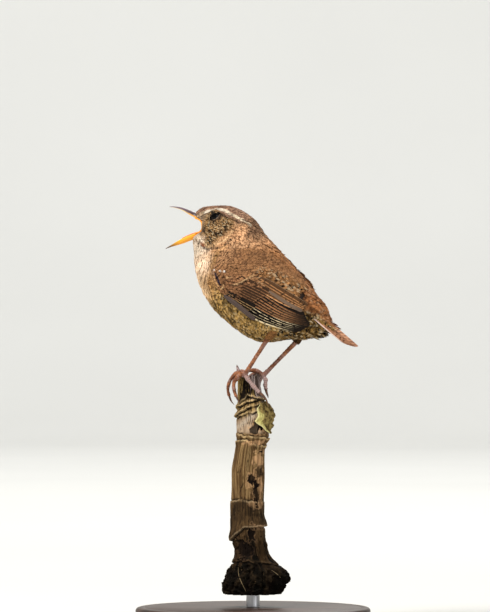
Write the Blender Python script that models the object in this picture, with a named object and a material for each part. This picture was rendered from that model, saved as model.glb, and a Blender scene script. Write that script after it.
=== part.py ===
"""A singing wren, life size, gripping the broken top of an upright stem on a plain display stand.

The bird faces -X, its left side is -Y and up is +Z. The origin is the middle of the base's underside.
All sizes below are in millimetres and become metres when a mesh is made. The feathered outline of the bird is
one lofted form, parted by thin gaps into head, neck, trunk and rump, and the other pieces are fitted to it.
"""

import math

import bmesh
import bpy
import numpy as np
from mathutils import Vector

MM = 0.001
GAP = 0.3

# The bird's pose: the head is turned to its left about an upright line through the neck
HEAD_TURN = math.radians(13.0)
NECK_X = -6.0
TURN_FROM = 2.6
TURN_TO = 6.0

# Feathered body sections from the bill's base to the tail's base. Each one has a point on the crown or back,
# one on the throat or belly, both as (x, z), then its half width and how much wider it is above the middle
SECTIONS = (
    ((-22.0, 157.3), (-23.4, 146.4), 2.6, 0.00),
    ((-20.1, 158.8), (-23.3, 145.8), 4.2, 0.05),
    ((-17.1, 159.6), (-23.3, 145.0), 5.8, 0.10),
    ((-8.2, 159.5), (-22.9, 142.0), 7.5, 0.12),
    ((0.0, 155.0), (-22.8, 137.4), 9.0, 0.10),
    ((5.2, 148.3), (-22.0, 132.4), 11.6, 0.02),
    ((11.5, 141.6), (-18.6, 124.7), 14.2, -0.05),
    ((18.6, 133.7), (-11.5, 116.3), 14.6, -0.08),
    ((25.0, 125.9), (2.0, 107.7), 12.0, -0.05),
    ((29.2, 120.9), (16.3, 108.8), 7.6, 0.00),
    ((30.6, 117.3), (27.0, 110.0), 3.8, 0.00),
)
HEAD_ENDS = 3.6
NECK_ENDS = 4.9
TRUNK_ENDS = 7.6
BODY_SIDES = 24

# Bill halves, from the root inside the head to the tip: ridge (x, z), cutting edge (x, z), half width
UPPER_BILL = (
    ((-18.8, 156.2), (-18.6, 153.7), 2.9),
    ((-22.0, 157.2), (-21.4, 154.7), 2.4),
    ((-25.1, 158.4), (-24.4, 156.2), 1.6),
    ((-28.0, 159.2), (-27.6, 158.0), 0.95),
    ((-30.6, 159.5), (-30.4, 158.95), 0.45),
    ((-32.2, 159.45), (-32.15, 159.25), 0.14),
)
LOWER_BILL = (
    ((-19.6, 147.5), (-19.2, 150.0), 2.8),
    ((-23.0, 146.7), (-22.6, 149.0), 2.3),
    ((-26.4, 145.45), (-25.6, 147.9), 1.55),
    ((-29.2, 144.6), (-28.6, 146.5), 0.95),
    ((-31.7, 143.9), (-31.4, 144.8), 0.45),
    ((-33.75, 143.15), (-33.7, 143.4), 0.14),
)
PALATE_HOLLOW = 0.22
FLOOR_HOLLOW = 0.40
TONGUE = ((-19.3, 149.7), (-22.4, 149.1), (-25.2, 148.15), (-27.4, 147.25))
TONGUE_HALF_WIDTHS = (1.2, 1.15, 0.85, 0.3)
TONGUE_HALF_THICKNESS = 0.38

# The open mouth: how far the gape reaches back, seen from the side, and the throat behind it
GAPE_TOP = (-19.5, 153.9)
GAPE_BOTTOM = (-19.8, 149.9)
THROAT = ((-20.5, 151.9, 2.3, 3.6), (-17.5, 151.7, 1.9, 3.0), (-13.5, 150.6, 1.0, 1.6))

EYE_X, EYE_Y, EYE_Z = -14.5, 5.0, 155.5
EYE_RADIUS = 2.3

# Right folded wing, from the bend to the feather tips: lower edge, middle and upper edge, each (x, y, z)
WING_ROWS = (
    ((-12.4, 12.4, 129.0), (-14.7, 12.2, 134.4), (-12.2, 11.6, 140.4)),
    ((-5.6, 15.1, 123.4), (-5.2, 15.6, 132.6), (-2.6, 12.4, 142.3)),
    ((3.6, 14.8, 116.9), (5.6, 15.7, 127.6), (8.6, 9.8, 140.0)),
    ((13.6, 12.6, 112.9), (15.2, 13.2, 121.7), (18.2, 6.1, 133.2)),
    ((24.6, 8.3, 110.9), (22.8, 9.3, 118.3), (25.5, 4.9, 125.2)),
)
WING_THICKNESS = 1.9
WING_EDGE = 0.7
COVERTS_END = 0.43
WING_SPLIT = 0.45
WING_GAP_S, WING_GAP_T = 0.009, 0.022

# Tail: the closed fan slopes down from its root to its tip
TAIL_ROOT = (18.9, 0.0, 124.0)
TAIL_TIP = (41.0, 0.0, 105.6)
TAIL_ROLL = math.radians(2.5)
# Rows are the share of the tail's length, the half width and the thickness
TAIL_ROWS = (
    (0.0, 3.4, 3.0),
    (0.3, 4.4, 2.7),
    (0.5, 5.0, 1.8),
    (0.75, 5.4, 1.2),
    (0.92, 4.8, 1.0),
    (0.98, 3.0, 0.8),
    (1.0, 1.0, 0.7),
)
TAIL_CAMBER = 0.9

# Legs, left then right: feathered thigh, ankle and foot joint
THIGH_TOPS = ((12.0, -8.0, 116.4), (17.0, 6.4, 114.6))
ANKLES = ((7.9, -7.0, 109.2), (15.6, 6.0, 107.6))
FEET = ((-2.1, -4.4, 95.0), (3.2, 3.2, 94.6))
THIGH_RADII = (3.5, 3.4, 2.5, 1.4)
SHANK_RADII = (0.85, 1.0, 0.8, 0.7, 0.7, 0.8, 1.0)

# Toes by foot, digit 1 being the hind toe. Each is a centre line in which the last places are its claw's
CLAW_POINTS = (3, 2, 2, 2)
LEFT_TOES = (
    (
        (-0.6, -5.4, 93.4), (1.9, -5.8, 90.5), (4.1, -5.8, 88.3),
        (5.7, -5.6, 86.9), (6.9, -5.3, 85.0), (7.5, -5.0, 82.8),
    ),
    (
        (-3.4, -2.5, 96.2), (-6.2, -1.3, 94.9), (-7.5, -0.6, 91.6),
        (-7.2, -0.3, 89.0), (-6.7, -0.1, 87.5), (-6.5, 0.1, 85.9),
    ),
    (
        (-4.6, -4.4, 95.9), (-7.7, -3.7, 93.4), (-9.1, -3.1, 89.9),
        (-8.8, -2.6, 86.9), (-8.0, -2.3, 84.9), (-6.9, -2.0, 83.4),
    ),
    (
        (-3.9, -5.3, 94.8), (-6.0, -5.3, 92.0), (-6.1, -5.4, 89.0),
        (-5.2, -5.4, 86.7), (-4.3, -5.6, 85.2), (-3.3, -5.9, 84.0),
    ),
)
RIGHT_TOES = (
    (
        (4.2, 2.9, 93.0), (4.2, 2.6, 91.0), (4.5, 2.3, 89.4),
        (4.9, 2.0, 88.0), (5.4, 1.8, 86.9), (5.6, 1.6, 86.0),
    ),
    (
        (1.4, 2.0, 96.3), (-2.0, 1.7, 96.5), (-4.9, 2.0, 95.0),
        (-6.1, 2.3, 92.6), (-6.3, 2.4, 90.9), (-6.0, 2.4, 89.3),
    ),
    (
        (1.2, 4.0, 95.6), (-2.2, 5.0, 94.6), (-4.8, 5.2, 92.0),
        (-5.6, 5.0, 89.4), (-5.5, 4.8, 87.7), (-4.9, 4.6, 86.3),
    ),
    (
        (2.0, 5.1, 94.4), (1.0, 6.3, 92.2), (0.4, 6.5, 89.8),
        (0.2, 6.3, 87.7), (0.2, 6.2, 86.2), (0.3, 6.0, 84.9),
    ),
)
TOE_RADIUS_ROOT, TOE_RADIUS_TIP = 0.8, 0.55
HIND_TOE_THICKER = 1.25
CLAW_RADIUS = 0.42
CLAW_TIP_RADIUS = 0.08

# Perch: a stem with its knot near the cut foot. Rows are height, middle x and radius
STEM_ROWS = (
    (11.0, 0.4, 8.4),
    (16.0, 0.9, 9.2),
    (20.5, 0.7, 8.4),
    (25.0, 0.0, 7.0),
    (31.0, -1.4, 6.9),
    (38.0, -1.9, 6.7),
    (47.0, -2.0, 6.2),
    (58.0, -2.1, 6.4),
    (66.0, -1.7, 6.0),
    (71.5, -0.2, 6.3),
    (80.0, -0.4, 6.1),
    (84.5, -0.9, 5.1),
    (90.0, -1.2, 4.4),
    (94.2, -1.3, 3.7),
)
# Lumps on the stem: direction in degrees, height, how far out, spread in degrees, spread in height
STEM_LUMPS = (
    (180.0, 15.5, 4.4, 42.0, 5.5),
    (0.0, 17.5, 4.2, 40.0, 5.0),
    (262.0, 13.5, 1.7, 45.0, 5.0),
    (95.0, 16.0, 2.4, 45.0, 4.5),
    (5.0, 71.0, 0.7, 50.0, 2.2),
)
STEM_RINGS = 24
STEM_SIDES = 18
STEM_WAVE = 0.22

# A flake of bark that stands off the stem's right side, and a splinter at its broken top
FLAP_HEIGHTS = (73.0, 85.2)
FLAP_ANGLES = (-72.0, 18.0)
FLAP_CLEAR = 0.8
FLAP_STANDS_OFF = 1.6
FLAP_THICKNESS = 0.8
SPLINTER = ((-5.0, 0.3, 91.6), (-5.5, 0.4, 94.2), (-6.1, 0.6, 96.8), (-6.6, 0.8, 98.8))
SPLINTER_RADII = (0.9, 0.95, 0.6, 0.1)

# Display stand
BASE_RADIUS = 45.0
BASE_THICKNESS = 6.0
BASE_BEVEL = 1.2
ROD_RADIUS = 2.6


def material(name, colour, roughness, metallic=0.0):
    made = bpy.data.materials.new(name)
    made.use_nodes = True
    shader = made.node_tree.nodes["Principled BSDF"]
    shader.inputs["Base Color"].default_value = (*colour, 1.0)
    shader.inputs["Roughness"].default_value = roughness
    shader.inputs["Metallic"].default_value = metallic
    made.diffuse_color = (*colour, 1.0)
    return made


def spline(rows, at):
    """Smooth values through evenly counted rows, at a place such as 2.4 between rows 2 and 3."""
    rows = np.asarray(rows, float)
    last = len(rows) - 1
    at = min(max(float(at), 0.0), last)
    i = min(int(at), last - 1)
    f = at - i
    before = rows[i - 1] if i > 0 else 2 * rows[0] - rows[1]
    after = rows[i + 2] if i + 2 <= last else 2 * rows[last] - rows[last - 1]
    a, b = rows[i], rows[i + 1]
    cubic = 3 * a - 3 * b + after - before
    square = 2 * before - 5 * a + 4 * b - after
    return 0.5 * (2 * a + (b - before) * f + square * f * f + cubic * f**3)


def smoothstep(low, high, value):
    t = min(max((value - low) / (high - low), 0.0), 1.0)
    return t * t * (3 - 2 * t)


def turned(point, share=1.0):
    """The point after the head's turn, or a share of it."""
    x, y, z = point
    angle = HEAD_TURN * share
    dx = x - NECK_X
    cosine, sine = math.cos(angle), math.sin(angle)
    return (NECK_X + dx * cosine - y * sine, dx * sine + y * cosine, z)


def place(name, mesh, colour):
    obj = bpy.data.objects.new(name, mesh)
    bpy.context.scene.collection.objects.link(obj)
    mesh.materials.append(colour)
    mesh.shade_smooth()
    mesh.set_sharp_from_angle(angle=math.radians(50))
    return obj


def loft(name, rings, colour, first_cap=None, last_cap=None):
    """A closed solid through rings of points in millimetres, each end capped with a fan to one point."""
    bm = bmesh.new()
    loops = [[bm.verts.new(Vector(p) * MM) for p in ring] for ring in rings]
    sides = len(loops[0])
    for near, far in zip(loops, loops[1:]):
        for k in range(sides):
            after = (k + 1) % sides
            bm.faces.new((near[k], near[after], far[after], far[k]))
    for loop, ring, cap in ((loops[0], rings[0], first_cap), (loops[-1], rings[-1], last_cap)):
        middle = bm.verts.new(Vector(cap if cap is not None else np.mean(ring, axis=0)) * MM)
        for k in range(sides):
            bm.faces.new((loop[k], loop[(k + 1) % sides], middle))
    bmesh.ops.recalc_face_normals(bm, faces=bm.faces)
    mesh = bpy.data.meshes.new(name)
    bm.to_mesh(mesh)
    bm.free()
    return place(name, mesh, colour)


def tube(name, path, radii, colour, sides=10, flat=1.0, steps=4, swell=0.0):
    """A tapering round solid along a smooth curve, its radii given evenly from end to end."""
    path = [Vector(p) for p in path]
    path[0] = path[0] + (path[0] - path[1]).normalized() * swell
    path[-1] = path[-1] + (path[-1] - path[-2]).normalized() * swell
    count = (len(path) - 1) * steps + 1
    centres = [Vector(spline(path, i / steps)) for i in range(count)]
    rows = [[radius + swell] for radius in radii]
    widths = [float(spline(rows, i * (len(rows) - 1) / (count - 1))[0]) for i in range(count)]
    rings = []
    side = Vector((0, 1, 0))
    for i, centre in enumerate(centres):
        along = (centres[min(i + 1, count - 1)] - centres[max(i - 1, 0)]).normalized()
        if i == 0 and abs(along.y) > 0.9:
            side = Vector((1, 0, 0))
        side = (side - along * side.dot(along)).normalized()
        up = side.cross(along)
        angles = [math.tau * k / sides for k in range(sides)]
        rings.append([centre + widths[i] * (side * math.cos(a) + up * math.sin(a) * flat) for a in angles])
    ends = [centres[0] - (centres[1] - centres[0]).normalized() * widths[0] * 0.5,
            centres[-1] + (centres[-1] - centres[-2]).normalized() * widths[-1] * 0.6]
    return loft(name, rings, colour, *ends)


def cut(target, cutter, keep_cutter=False):
    """Takes the cutter's shape out of the target for good."""
    boolean = target.modifiers.new("cut", "BOOLEAN")
    boolean.operation = "DIFFERENCE"
    boolean.object = cutter
    bpy.context.view_layer.update()
    evaluated = target.evaluated_get(bpy.context.evaluated_depsgraph_get())
    mesh = bpy.data.meshes.new_from_object(evaluated)
    target.modifiers.clear()
    target.data = mesh
    if not keep_cutter:
        bpy.data.objects.remove(cutter)


def body_ring(u, grow=0.0):
    """One section of the feathered body as a ring of points, grown outwards by some millimetres."""
    (top_x, top_z, low_x, low_z, half_width, wider_above) = spline(
        [(*top, *low, width, wider) for top, low, width, wider in SECTIONS], u
    )
    top, low = np.array((top_x, 0.0, top_z)), np.array((low_x, 0.0, low_z))
    middle = (top + low) / 2
    half_height = np.linalg.norm(top - low) / 2
    upward = (top - low) / (2 * half_height)
    share = 1.0 - smoothstep(TURN_FROM, TURN_TO, u)
    ring = []
    for k in range(BODY_SIDES):
        angle = math.tau * k / BODY_SIDES
        width = (half_width + grow) * math.sin(angle) * (1 + wider_above * math.cos(angle))
        point = middle + upward * (half_height + grow) * math.cos(angle)
        ring.append(turned((point[0], width, point[2]), share))
    return ring


def body_piece(name, start, end, count, colour, grow=0.0, round_front=False, round_back=False):
    """A stretch of the feathered body between two section numbers."""
    rings = [body_ring(start + (end - start) * i / (count - 1), grow) for i in range(count)]
    caps = []
    for ring, beside, is_round in ((rings[0], rings[1], round_front), (rings[-1], rings[-2], round_back)):
        middle = np.mean(ring, axis=0)
        outward = middle - np.mean(beside, axis=0)
        outward = outward / np.linalg.norm(outward)
        caps.append((middle, outward if is_round else outward * 0))
    if round_front:
        middle, outward = caps[0]
        rings.insert(0, [middle + (np.array(p) - middle) * 0.7 + outward * (0.5 + grow) for p in rings[0]])
    if round_back:
        middle, outward = caps[1]
        rings.append([middle + (np.array(p) - middle) * 0.75 + outward * (1.2 + grow) for p in rings[-1]])
    first = caps[0][0] + caps[0][1] * (0.9 + grow)
    last = caps[1][0] + caps[1][1] * (1.7 + grow)
    return loft(name, rings, colour, first, last)


def bill_half(name, rows, hollow, colour, grow=0.0):
    """One half of the bill: an arch over its ridge, and a hollow inner face between its cutting edges."""
    stations = [(*ridge, *edge, width) for ridge, edge, width in rows]
    rings = []
    for i in range(2 * (len(rows) - 1) + 1):
        ridge_x, ridge_z, edge_x, edge_z, width = spline(stations, i / 2)
        ridge, edge = np.array((ridge_x, 0, ridge_z)), np.array((edge_x, 0, edge_z))
        reach = ridge - edge
        outward = reach / np.linalg.norm(reach)
        ring = []
        for k in range(9):
            angle = math.pi * k / 8
            point = edge + reach * math.sin(angle) ** 0.8 + outward * grow * math.sin(angle)
            ring.append(turned((point[0], (width + grow) * math.cos(angle), point[2])))
        for k in range(1, 6):
            across = -1 + 2 * k / 6
            depth = hollow * (1 - across**2)
            point = edge + reach * depth * (0.0 if grow else 1.0) - outward * grow
            ring.append(turned((point[0], (width + grow) * across, point[2])))
        rings.append(ring)
    if grow:
        back = np.array(rings[0]).mean(axis=0) - np.array(rings[1]).mean(axis=0)
        rings.insert(0, [np.array(p) + back / np.linalg.norm(back) * grow for p in rings[0]])
    return loft(name, rings, colour)


def prism(name, outline, half_width, colour):
    """A flat outline in x and z drawn out to both sides, turned with the head."""
    rings = [[turned((x, y, z)) for x, z in outline] for y in (-half_width, half_width)]
    return loft(name, rings, colour)


def throat_cutter(colour):
    """The funnel of the open mouth behind the gape."""
    rings = []
    for x, z, half_height, half_width in THROAT:
        angles = [math.tau * k / 16 for k in range(16)]
        rings.append([turned((x, half_width * math.cos(a), z + half_height * math.sin(a))) for a in angles])
    return loft("throat_cutter", rings, colour)


def ball(name, side, radius, colour):
    mesh = bpy.data.meshes.new(name)
    bm = bmesh.new()
    bmesh.ops.create_uvsphere(bm, u_segments=14, v_segments=9, radius=radius * MM)
    bmesh.ops.translate(bm, verts=bm.verts, vec=Vector(turned((EYE_X, side * EYE_Y, EYE_Z))) * MM)
    bm.to_mesh(mesh)
    bm.free()
    return place(name, mesh, colour)


def wing_point(s, t, side):
    """A point of the folded wing's outer face: s runs from the bend to the tips, t from the lower edge up."""
    low, middle, high = spline(WING_ROWS, s * (len(WING_ROWS) - 1))
    x, y, z = low * (1 - t) * (1 - 2 * t) + middle * 4 * t * (1 - t) + high * t * (2 * t - 1)
    return np.array((x, side * y, z))


def wing_piece(name, side, s_range, t_range, counts, colour):
    """A slab of the folded wing, thinned towards its own edges."""
    rows, columns = counts
    outer, inner = [], []
    for i in range(rows):
        s = s_range[0] + (s_range[1] - s_range[0]) * i / (rows - 1)
        for j in range(columns):
            t = t_range[0] + (t_range[1] - t_range[0]) * j / (columns - 1)
            point = wing_point(s, t, side)
            along = wing_point(min(s + 0.01, 1.0), t, side) - wing_point(max(s - 0.01, 0.0), t, side)
            across = wing_point(s, t + 0.01, side) - wing_point(s, t - 0.01, side)
            normal = np.cross(along, across)
            normal = normal / np.linalg.norm(normal)
            if normal[1] * side < 0:
                normal = -normal
            rim = min(s, 1 - s) * 45, min(t, 1 - t) * 18
            depth = WING_EDGE + (WING_THICKNESS - WING_EDGE) * smoothstep(0.0, 3.0, min(rim))
            outer.append(point)
            inner.append(point - normal * depth)
    bm = bmesh.new()
    out = [bm.verts.new(Vector(p) * MM) for p in outer]
    inn = [bm.verts.new(Vector(p) * MM) for p in inner]

    def at(grid, i, j):
        return grid[i * columns + j]

    for i in range(rows - 1):
        for j in range(columns - 1):
            for grid in (out, inn):
                bm.faces.new((at(grid, i, j), at(grid, i + 1, j), at(grid, i + 1, j + 1), at(grid, i, j + 1)))
    rim = [(i, 0) for i in range(rows)] + [(rows - 1, j) for j in range(1, columns)]
    rim += [(i, columns - 1) for i in range(rows - 2, -1, -1)] + [(0, j) for j in range(columns - 2, 0, -1)]
    for here, there in zip(rim, rim[1:] + rim[:1]):
        bm.faces.new((at(out, *here), at(out, *there), at(inn, *there), at(inn, *here)))
    bmesh.ops.recalc_face_normals(bm, faces=bm.faces)
    mesh = bpy.data.meshes.new(name)
    bm.to_mesh(mesh)
    bm.free()
    return place(name, mesh, colour)


def tail(name, colour, grow=0.0):
    """The closed tail: a thin arched blade with a rounded end, rolled a little to its left."""
    root, tip = Vector(TAIL_ROOT), Vector(TAIL_TIP)
    along = (tip - root).normalized()
    root = root - along * grow
    level = Vector((0, 1, 0))
    upright = along.cross(level)
    across = level * math.cos(TAIL_ROLL) + upright * math.sin(TAIL_ROLL)
    upright = across.cross(along)
    rings = []
    for share, half_width, thickness in TAIL_ROWS:
        centre = root + (tip - root) * share
        half = thickness / 2 + grow
        upper, lower = [], []
        for k in range(7):
            place_across = -1 + 2 * k / 6
            sag = -TAIL_CAMBER * place_across**2 * (half_width / 5.5)
            offset = across * place_across * (half_width + grow)
            thin = 1 - 0.45 * place_across**4
            upper.append(centre + offset + upright * (sag + half * thin))
            lower.append(centre + offset + upright * (sag - half * thin))
        rings.append(upper + lower[::-1])
    return loft(name, rings, colour)


def stem_middle(z):
    heights = [row[0] for row in STEM_ROWS]
    row = np.interp(z, heights, range(len(heights)))
    return spline([r[1:] for r in STEM_ROWS], row)


def stem_radius(z, degrees):
    """The stem's radius in one direction, with its shallow waves and lumps."""
    radius = stem_middle(z)[1]
    around = math.radians(degrees)
    radius += STEM_WAVE * math.sin(3 * around + z * 0.11) + STEM_WAVE * 0.6 * math.sin(5 * around - z * 0.23)
    for direction, height, out, spread, rise in STEM_LUMPS:
        away = (degrees - direction + 180) % 360 - 180
        radius += out * math.exp(-((away / spread) ** 2) - ((z - height) / rise) ** 2)
    return radius


def stem_point(z, degrees, stand_off=0.0):
    reach = stem_radius(z, degrees) + stand_off
    around = math.radians(degrees)
    return (stem_middle(z)[0] + reach * math.cos(around), reach * math.sin(around), z)


def stem(name, colour):
    foot, top = STEM_ROWS[0][0], STEM_ROWS[-1][0]
    rings = []
    for i in range(STEM_RINGS):
        z = foot + (top - foot) * i / (STEM_RINGS - 1)
        rings.append([stem_point(z, 360 * k / STEM_SIDES) for k in range(STEM_SIDES)])
    crown = (stem_middle(top)[0], 0.0, top + 0.3)
    return loft(name, rings, colour, None, crown)


def bark_flap(name, colour):
    """A curled flake: a curved plate that stands off the stem most at its upper outer corner."""
    rings = []
    for i in range(7):
        rise = i / 6
        z = FLAP_HEIGHTS[0] + (FLAP_HEIGHTS[1] - FLAP_HEIGHTS[0]) * rise
        outer, inner = [], []
        for j in range(7):
            turn = j / 6
            degrees = FLAP_ANGLES[1] - (FLAP_ANGLES[1] - FLAP_ANGLES[0]) * (1 - turn) * (0.55 + 0.45 * rise)
            stand_off = FLAP_CLEAR + FLAP_STANDS_OFF * turn**1.5 * math.sin(math.pi * (0.05 + 0.65 * rise))
            inner.append(stem_point(z, degrees, stand_off))
            outer.append(stem_point(z, degrees, stand_off + FLAP_THICKNESS))
        rings.append(outer + inner[::-1])
    return loft(name, rings, colour)


def base(name, colour):
    bm = bmesh.new()
    radius, thickness = BASE_RADIUS * MM, BASE_THICKNESS * MM
    bmesh.ops.create_cone(bm, cap_ends=True, segments=44, radius1=radius, radius2=radius, depth=thickness)
    bmesh.ops.translate(bm, verts=bm.verts, vec=Vector((0, 0, BASE_THICKNESS / 2)) * MM)
    rims = [e for e in bm.edges if abs(e.verts[0].co.z - e.verts[1].co.z) < 1e-7 and e.verts[0].co.z > 1e-4]
    bmesh.ops.bevel(bm, geom=rims, offset=BASE_BEVEL * MM, segments=3, profile=0.5, affect="EDGES")
    mesh = bpy.data.meshes.new(name)
    bm.to_mesh(mesh)
    bm.free()
    return place(name, mesh, colour)


def rod(name, colour):
    low, high = BASE_THICKNESS + GAP, STEM_ROWS[0][0] - GAP
    rings = []
    for z in (low, high):
        angles = [math.tau * k / 24 for k in range(24)]
        rings.append([(ROD_RADIUS * math.cos(a), ROD_RADIUS * math.sin(a), z) for a in angles])
    return loft(name, rings, colour)


def build_head(coat, horn, horn_low, mouth, eye_colour):
    head = body_piece("head", 0.0, HEAD_ENDS, 9, coat, round_front=True)
    wedge = (GAPE_TOP, (-36.0, 164.0), (-36.0, 138.5), GAPE_BOTTOM)
    cut(head, prism("gape_cutter", wedge, 9.0, coat))
    cut(head, throat_cutter(coat))
    bill_half("bill_upper", UPPER_BILL, PALATE_HOLLOW, horn)
    bill_half("bill_lower", LOWER_BILL, FLOOR_HOLLOW, horn_low)
    cut(head, bill_half("upper_cutter", UPPER_BILL, PALATE_HOLLOW, coat, grow=GAP))
    cut(head, bill_half("lower_cutter", LOWER_BILL, FLOOR_HOLLOW, coat, grow=GAP))
    tongue_path = [turned((x, 0.0, z)) for x, z in TONGUE]
    tube("tongue", tongue_path, TONGUE_HALF_WIDTHS, mouth, sides=10, flat=TONGUE_HALF_THICKNESS, steps=3)
    shape = {"sides": 10, "flat": 0.7, "steps": 3, "swell": GAP}
    cut(head, tube("tongue_cutter", tongue_path, TONGUE_HALF_WIDTHS, coat, **shape))
    for word, side in (("left", -1), ("right", 1)):
        ball(f"eye_{word}", side, EYE_RADIUS, eye_colour)
        cut(head, ball(f"socket_{word}", side, EYE_RADIUS + GAP, coat))


def build_body(coat):
    body_piece("neck", HEAD_ENDS + 0.045, NECK_ENDS - 0.04, 6, coat)
    body_piece("trunk", NECK_ENDS + 0.04, TRUNK_ENDS - 0.02, 10, coat)
    rump = body_piece("rump", TRUNK_ENDS + 0.02, len(SECTIONS) - 1, 11, coat, round_back=True)
    cut(rump, tail("tail_cutter", coat, grow=GAP))
    tail("tail", coat)


def build_wings(flight, coverts, cutter):
    halves = (
        ("coverts", (0.0, COVERTS_END - WING_GAP_S), (0.0, 1.0), (7, 7), coverts),
        ("primaries", (COVERTS_END, 1.0), (0.0, WING_SPLIT - WING_GAP_T), (9, 5), flight),
        ("secondaries", (COVERTS_END, 1.0), (WING_SPLIT, 1.0), (9, 5), flight),
    )
    for word, side in (("left", -1), ("right", 1)):
        for part, s_range, t_range, counts, colour in halves:
            piece = wing_piece(f"wing_{word}_{part}", side, s_range, t_range, counts, colour)
            cut(piece, cutter, keep_cutter=True)


def build_legs(coat, scaly, claw_colour):
    rump = bpy.data.objects["rump"]
    sides = zip(("left", "right"), THIGH_TOPS, ANKLES, FEET, (LEFT_TOES, RIGHT_TOES))
    for word, thigh_top, ankle, foot, toes in sides:
        top, joint, foot = Vector(thigh_top), Vector(ankle), Vector(foot)
        thigh_path = (top, top.lerp(joint, 0.5), joint)
        tube(f"thigh_{word}", thigh_path, THIGH_RADII, coat, sides=12, steps=3)
        cut(rump, tube("thigh_cutter", thigh_path, THIGH_RADII, coat, sides=12, steps=3, swell=GAP))
        down = (foot - joint).normalized()
        start = joint + down * (THIGH_RADII[-1] * 0.4 + GAP + 0.75)
        tube(f"shank_{word}", (start, start.lerp(foot, 0.5), foot), SHANK_RADII, scaly, sides=10, steps=3)
        for digit, (path, claw_points) in enumerate(zip(toes, CLAW_POINTS), 1):
            toe_path, claw_path = path[:-claw_points], path[-claw_points:]
            thicker = HIND_TOE_THICKER if digit == 1 else 1.0
            radii = (TOE_RADIUS_ROOT * thicker, TOE_RADIUS_TIP * thicker)
            last = Vector(toe_path[-1])
            tube(f"toe_{word}_{digit}", toe_path, radii, scaly, sides=7, steps=2)
            to_claw = (Vector(claw_path[0]) - last).normalized()
            claw_start = last + to_claw * (radii[1] * 0.6 + GAP + CLAW_RADIUS * 0.5)
            claw_radii = (CLAW_RADIUS * thicker, CLAW_RADIUS * thicker * 0.8, CLAW_TIP_RADIUS)
            tube(f"claw_{word}_{digit}", (claw_start, *claw_path), claw_radii, claw_colour, sides=6, steps=2)


def build_perch(bark, pale_bark):
    trunk = stem("perch_stem", bark)
    bark_flap("perch_bark_flap", pale_bark)
    tube("perch_splinter", SPLINTER, SPLINTER_RADII, bark, sides=8, steps=2)
    cut(trunk, tube("splinter_cutter", SPLINTER, SPLINTER_RADII, bark, sides=8, steps=2, swell=GAP))


def main():
    for old in list(bpy.data.objects):
        bpy.data.objects.remove(old)
    coat = material("plumage", (0.32, 0.19, 0.09), 0.85)
    flight = material("flight_feathers", (0.16, 0.08, 0.035), 0.7)
    horn = material("bill_dark", (0.05, 0.035, 0.03), 0.4)
    horn_low = material("bill_yellow", (0.75, 0.34, 0.03), 0.4)
    mouth = material("mouth", (0.8, 0.35, 0.05), 0.35)
    eye_colour = material("eye", (0.01, 0.007, 0.005), 0.08)
    scaly = material("legs", (0.38, 0.17, 0.09), 0.5)
    claw_colour = material("claws", (0.1, 0.06, 0.045), 0.4)
    bark = material("bark", (0.14, 0.09, 0.045), 0.9)
    pale_bark = material("pale_bark", (0.4, 0.32, 0.14), 0.9)
    stand_wood = material("stand_wood", (0.06, 0.035, 0.02), 0.45)
    steel = material("stand_steel", (0.6, 0.6, 0.6), 0.3, 1.0)

    build_head(coat, horn, horn_low, mouth, eye_colour)
    build_body(coat)
    whole = (0.0, len(SECTIONS) - 1, 40)
    cutter = body_piece("body_cutter", *whole, coat, grow=GAP, round_front=True, round_back=True)
    build_wings(flight, coat, cutter)
    bpy.data.objects.remove(cutter)
    build_legs(coat, scaly, claw_colour)
    build_perch(bark, pale_bark)
    base("stand_base", stand_wood)
    rod("stand_rod", steel)


main()
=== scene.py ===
import math

import bmesh
import bpy
import numpy as np
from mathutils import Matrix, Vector
from mathutils.kdtree import KDTree


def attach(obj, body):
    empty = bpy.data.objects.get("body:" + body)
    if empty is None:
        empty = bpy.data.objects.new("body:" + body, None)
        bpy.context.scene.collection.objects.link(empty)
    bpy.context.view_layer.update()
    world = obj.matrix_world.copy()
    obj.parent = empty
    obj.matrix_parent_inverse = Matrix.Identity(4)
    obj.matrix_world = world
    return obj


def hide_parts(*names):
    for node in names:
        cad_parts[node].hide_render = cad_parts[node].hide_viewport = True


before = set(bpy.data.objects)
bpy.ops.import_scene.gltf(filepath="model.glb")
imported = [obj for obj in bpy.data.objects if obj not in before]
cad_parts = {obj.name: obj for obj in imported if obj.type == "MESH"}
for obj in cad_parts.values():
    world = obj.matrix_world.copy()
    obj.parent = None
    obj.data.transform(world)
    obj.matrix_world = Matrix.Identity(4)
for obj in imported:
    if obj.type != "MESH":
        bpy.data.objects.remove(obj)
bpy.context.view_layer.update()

MM = 0.001
HALF_PATCH = 0.0015
WINGS = (("right", False), ("left", True))
DIGITS = (1, 2, 3, 4)

# The bird's form, in millimetres: it faces -X, its left side is -Y, and the head is turned to its left.
# Sections have a point on the crown or back, one on the throat or belly, the half width and an egg factor
SECTIONS = (
    (-22.0, 157.3, -23.4, 146.4, 2.6, 0.0),
    (-20.1, 158.8, -23.3, 145.8, 4.2, 0.05),
    (-17.1, 159.6, -23.3, 145.0, 5.8, 0.1),
    (-8.2, 159.5, -22.9, 142.0, 7.5, 0.12),
    (0.0, 155.0, -22.8, 137.4, 9.0, 0.1),
    (5.2, 148.3, -22.0, 132.4, 11.6, 0.02),
    (11.5, 141.6, -18.6, 124.7, 14.2, -0.05),
    (18.6, 133.7, -11.5, 116.3, 14.6, -0.08),
    (25.0, 125.9, 2.0, 107.7, 12.0, -0.05),
    (29.2, 120.9, 16.3, 108.8, 7.6, 0.0),
    (30.6, 117.3, 27.0, 110.0, 3.8, 0.0),
    (35.5, 112.6, 34.0, 108.9, 4.4, 0.0),
)
HEAD_TURN = math.radians(13.0)
NECK_X = -6.0
TURN_FROM, TURN_TO = 2.6, 6.0
EYE = np.array((-14.5, 5.0, 155.5))
EYE_RADIUS = 2.3
EYE_TILT = math.radians(33.0)
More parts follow.
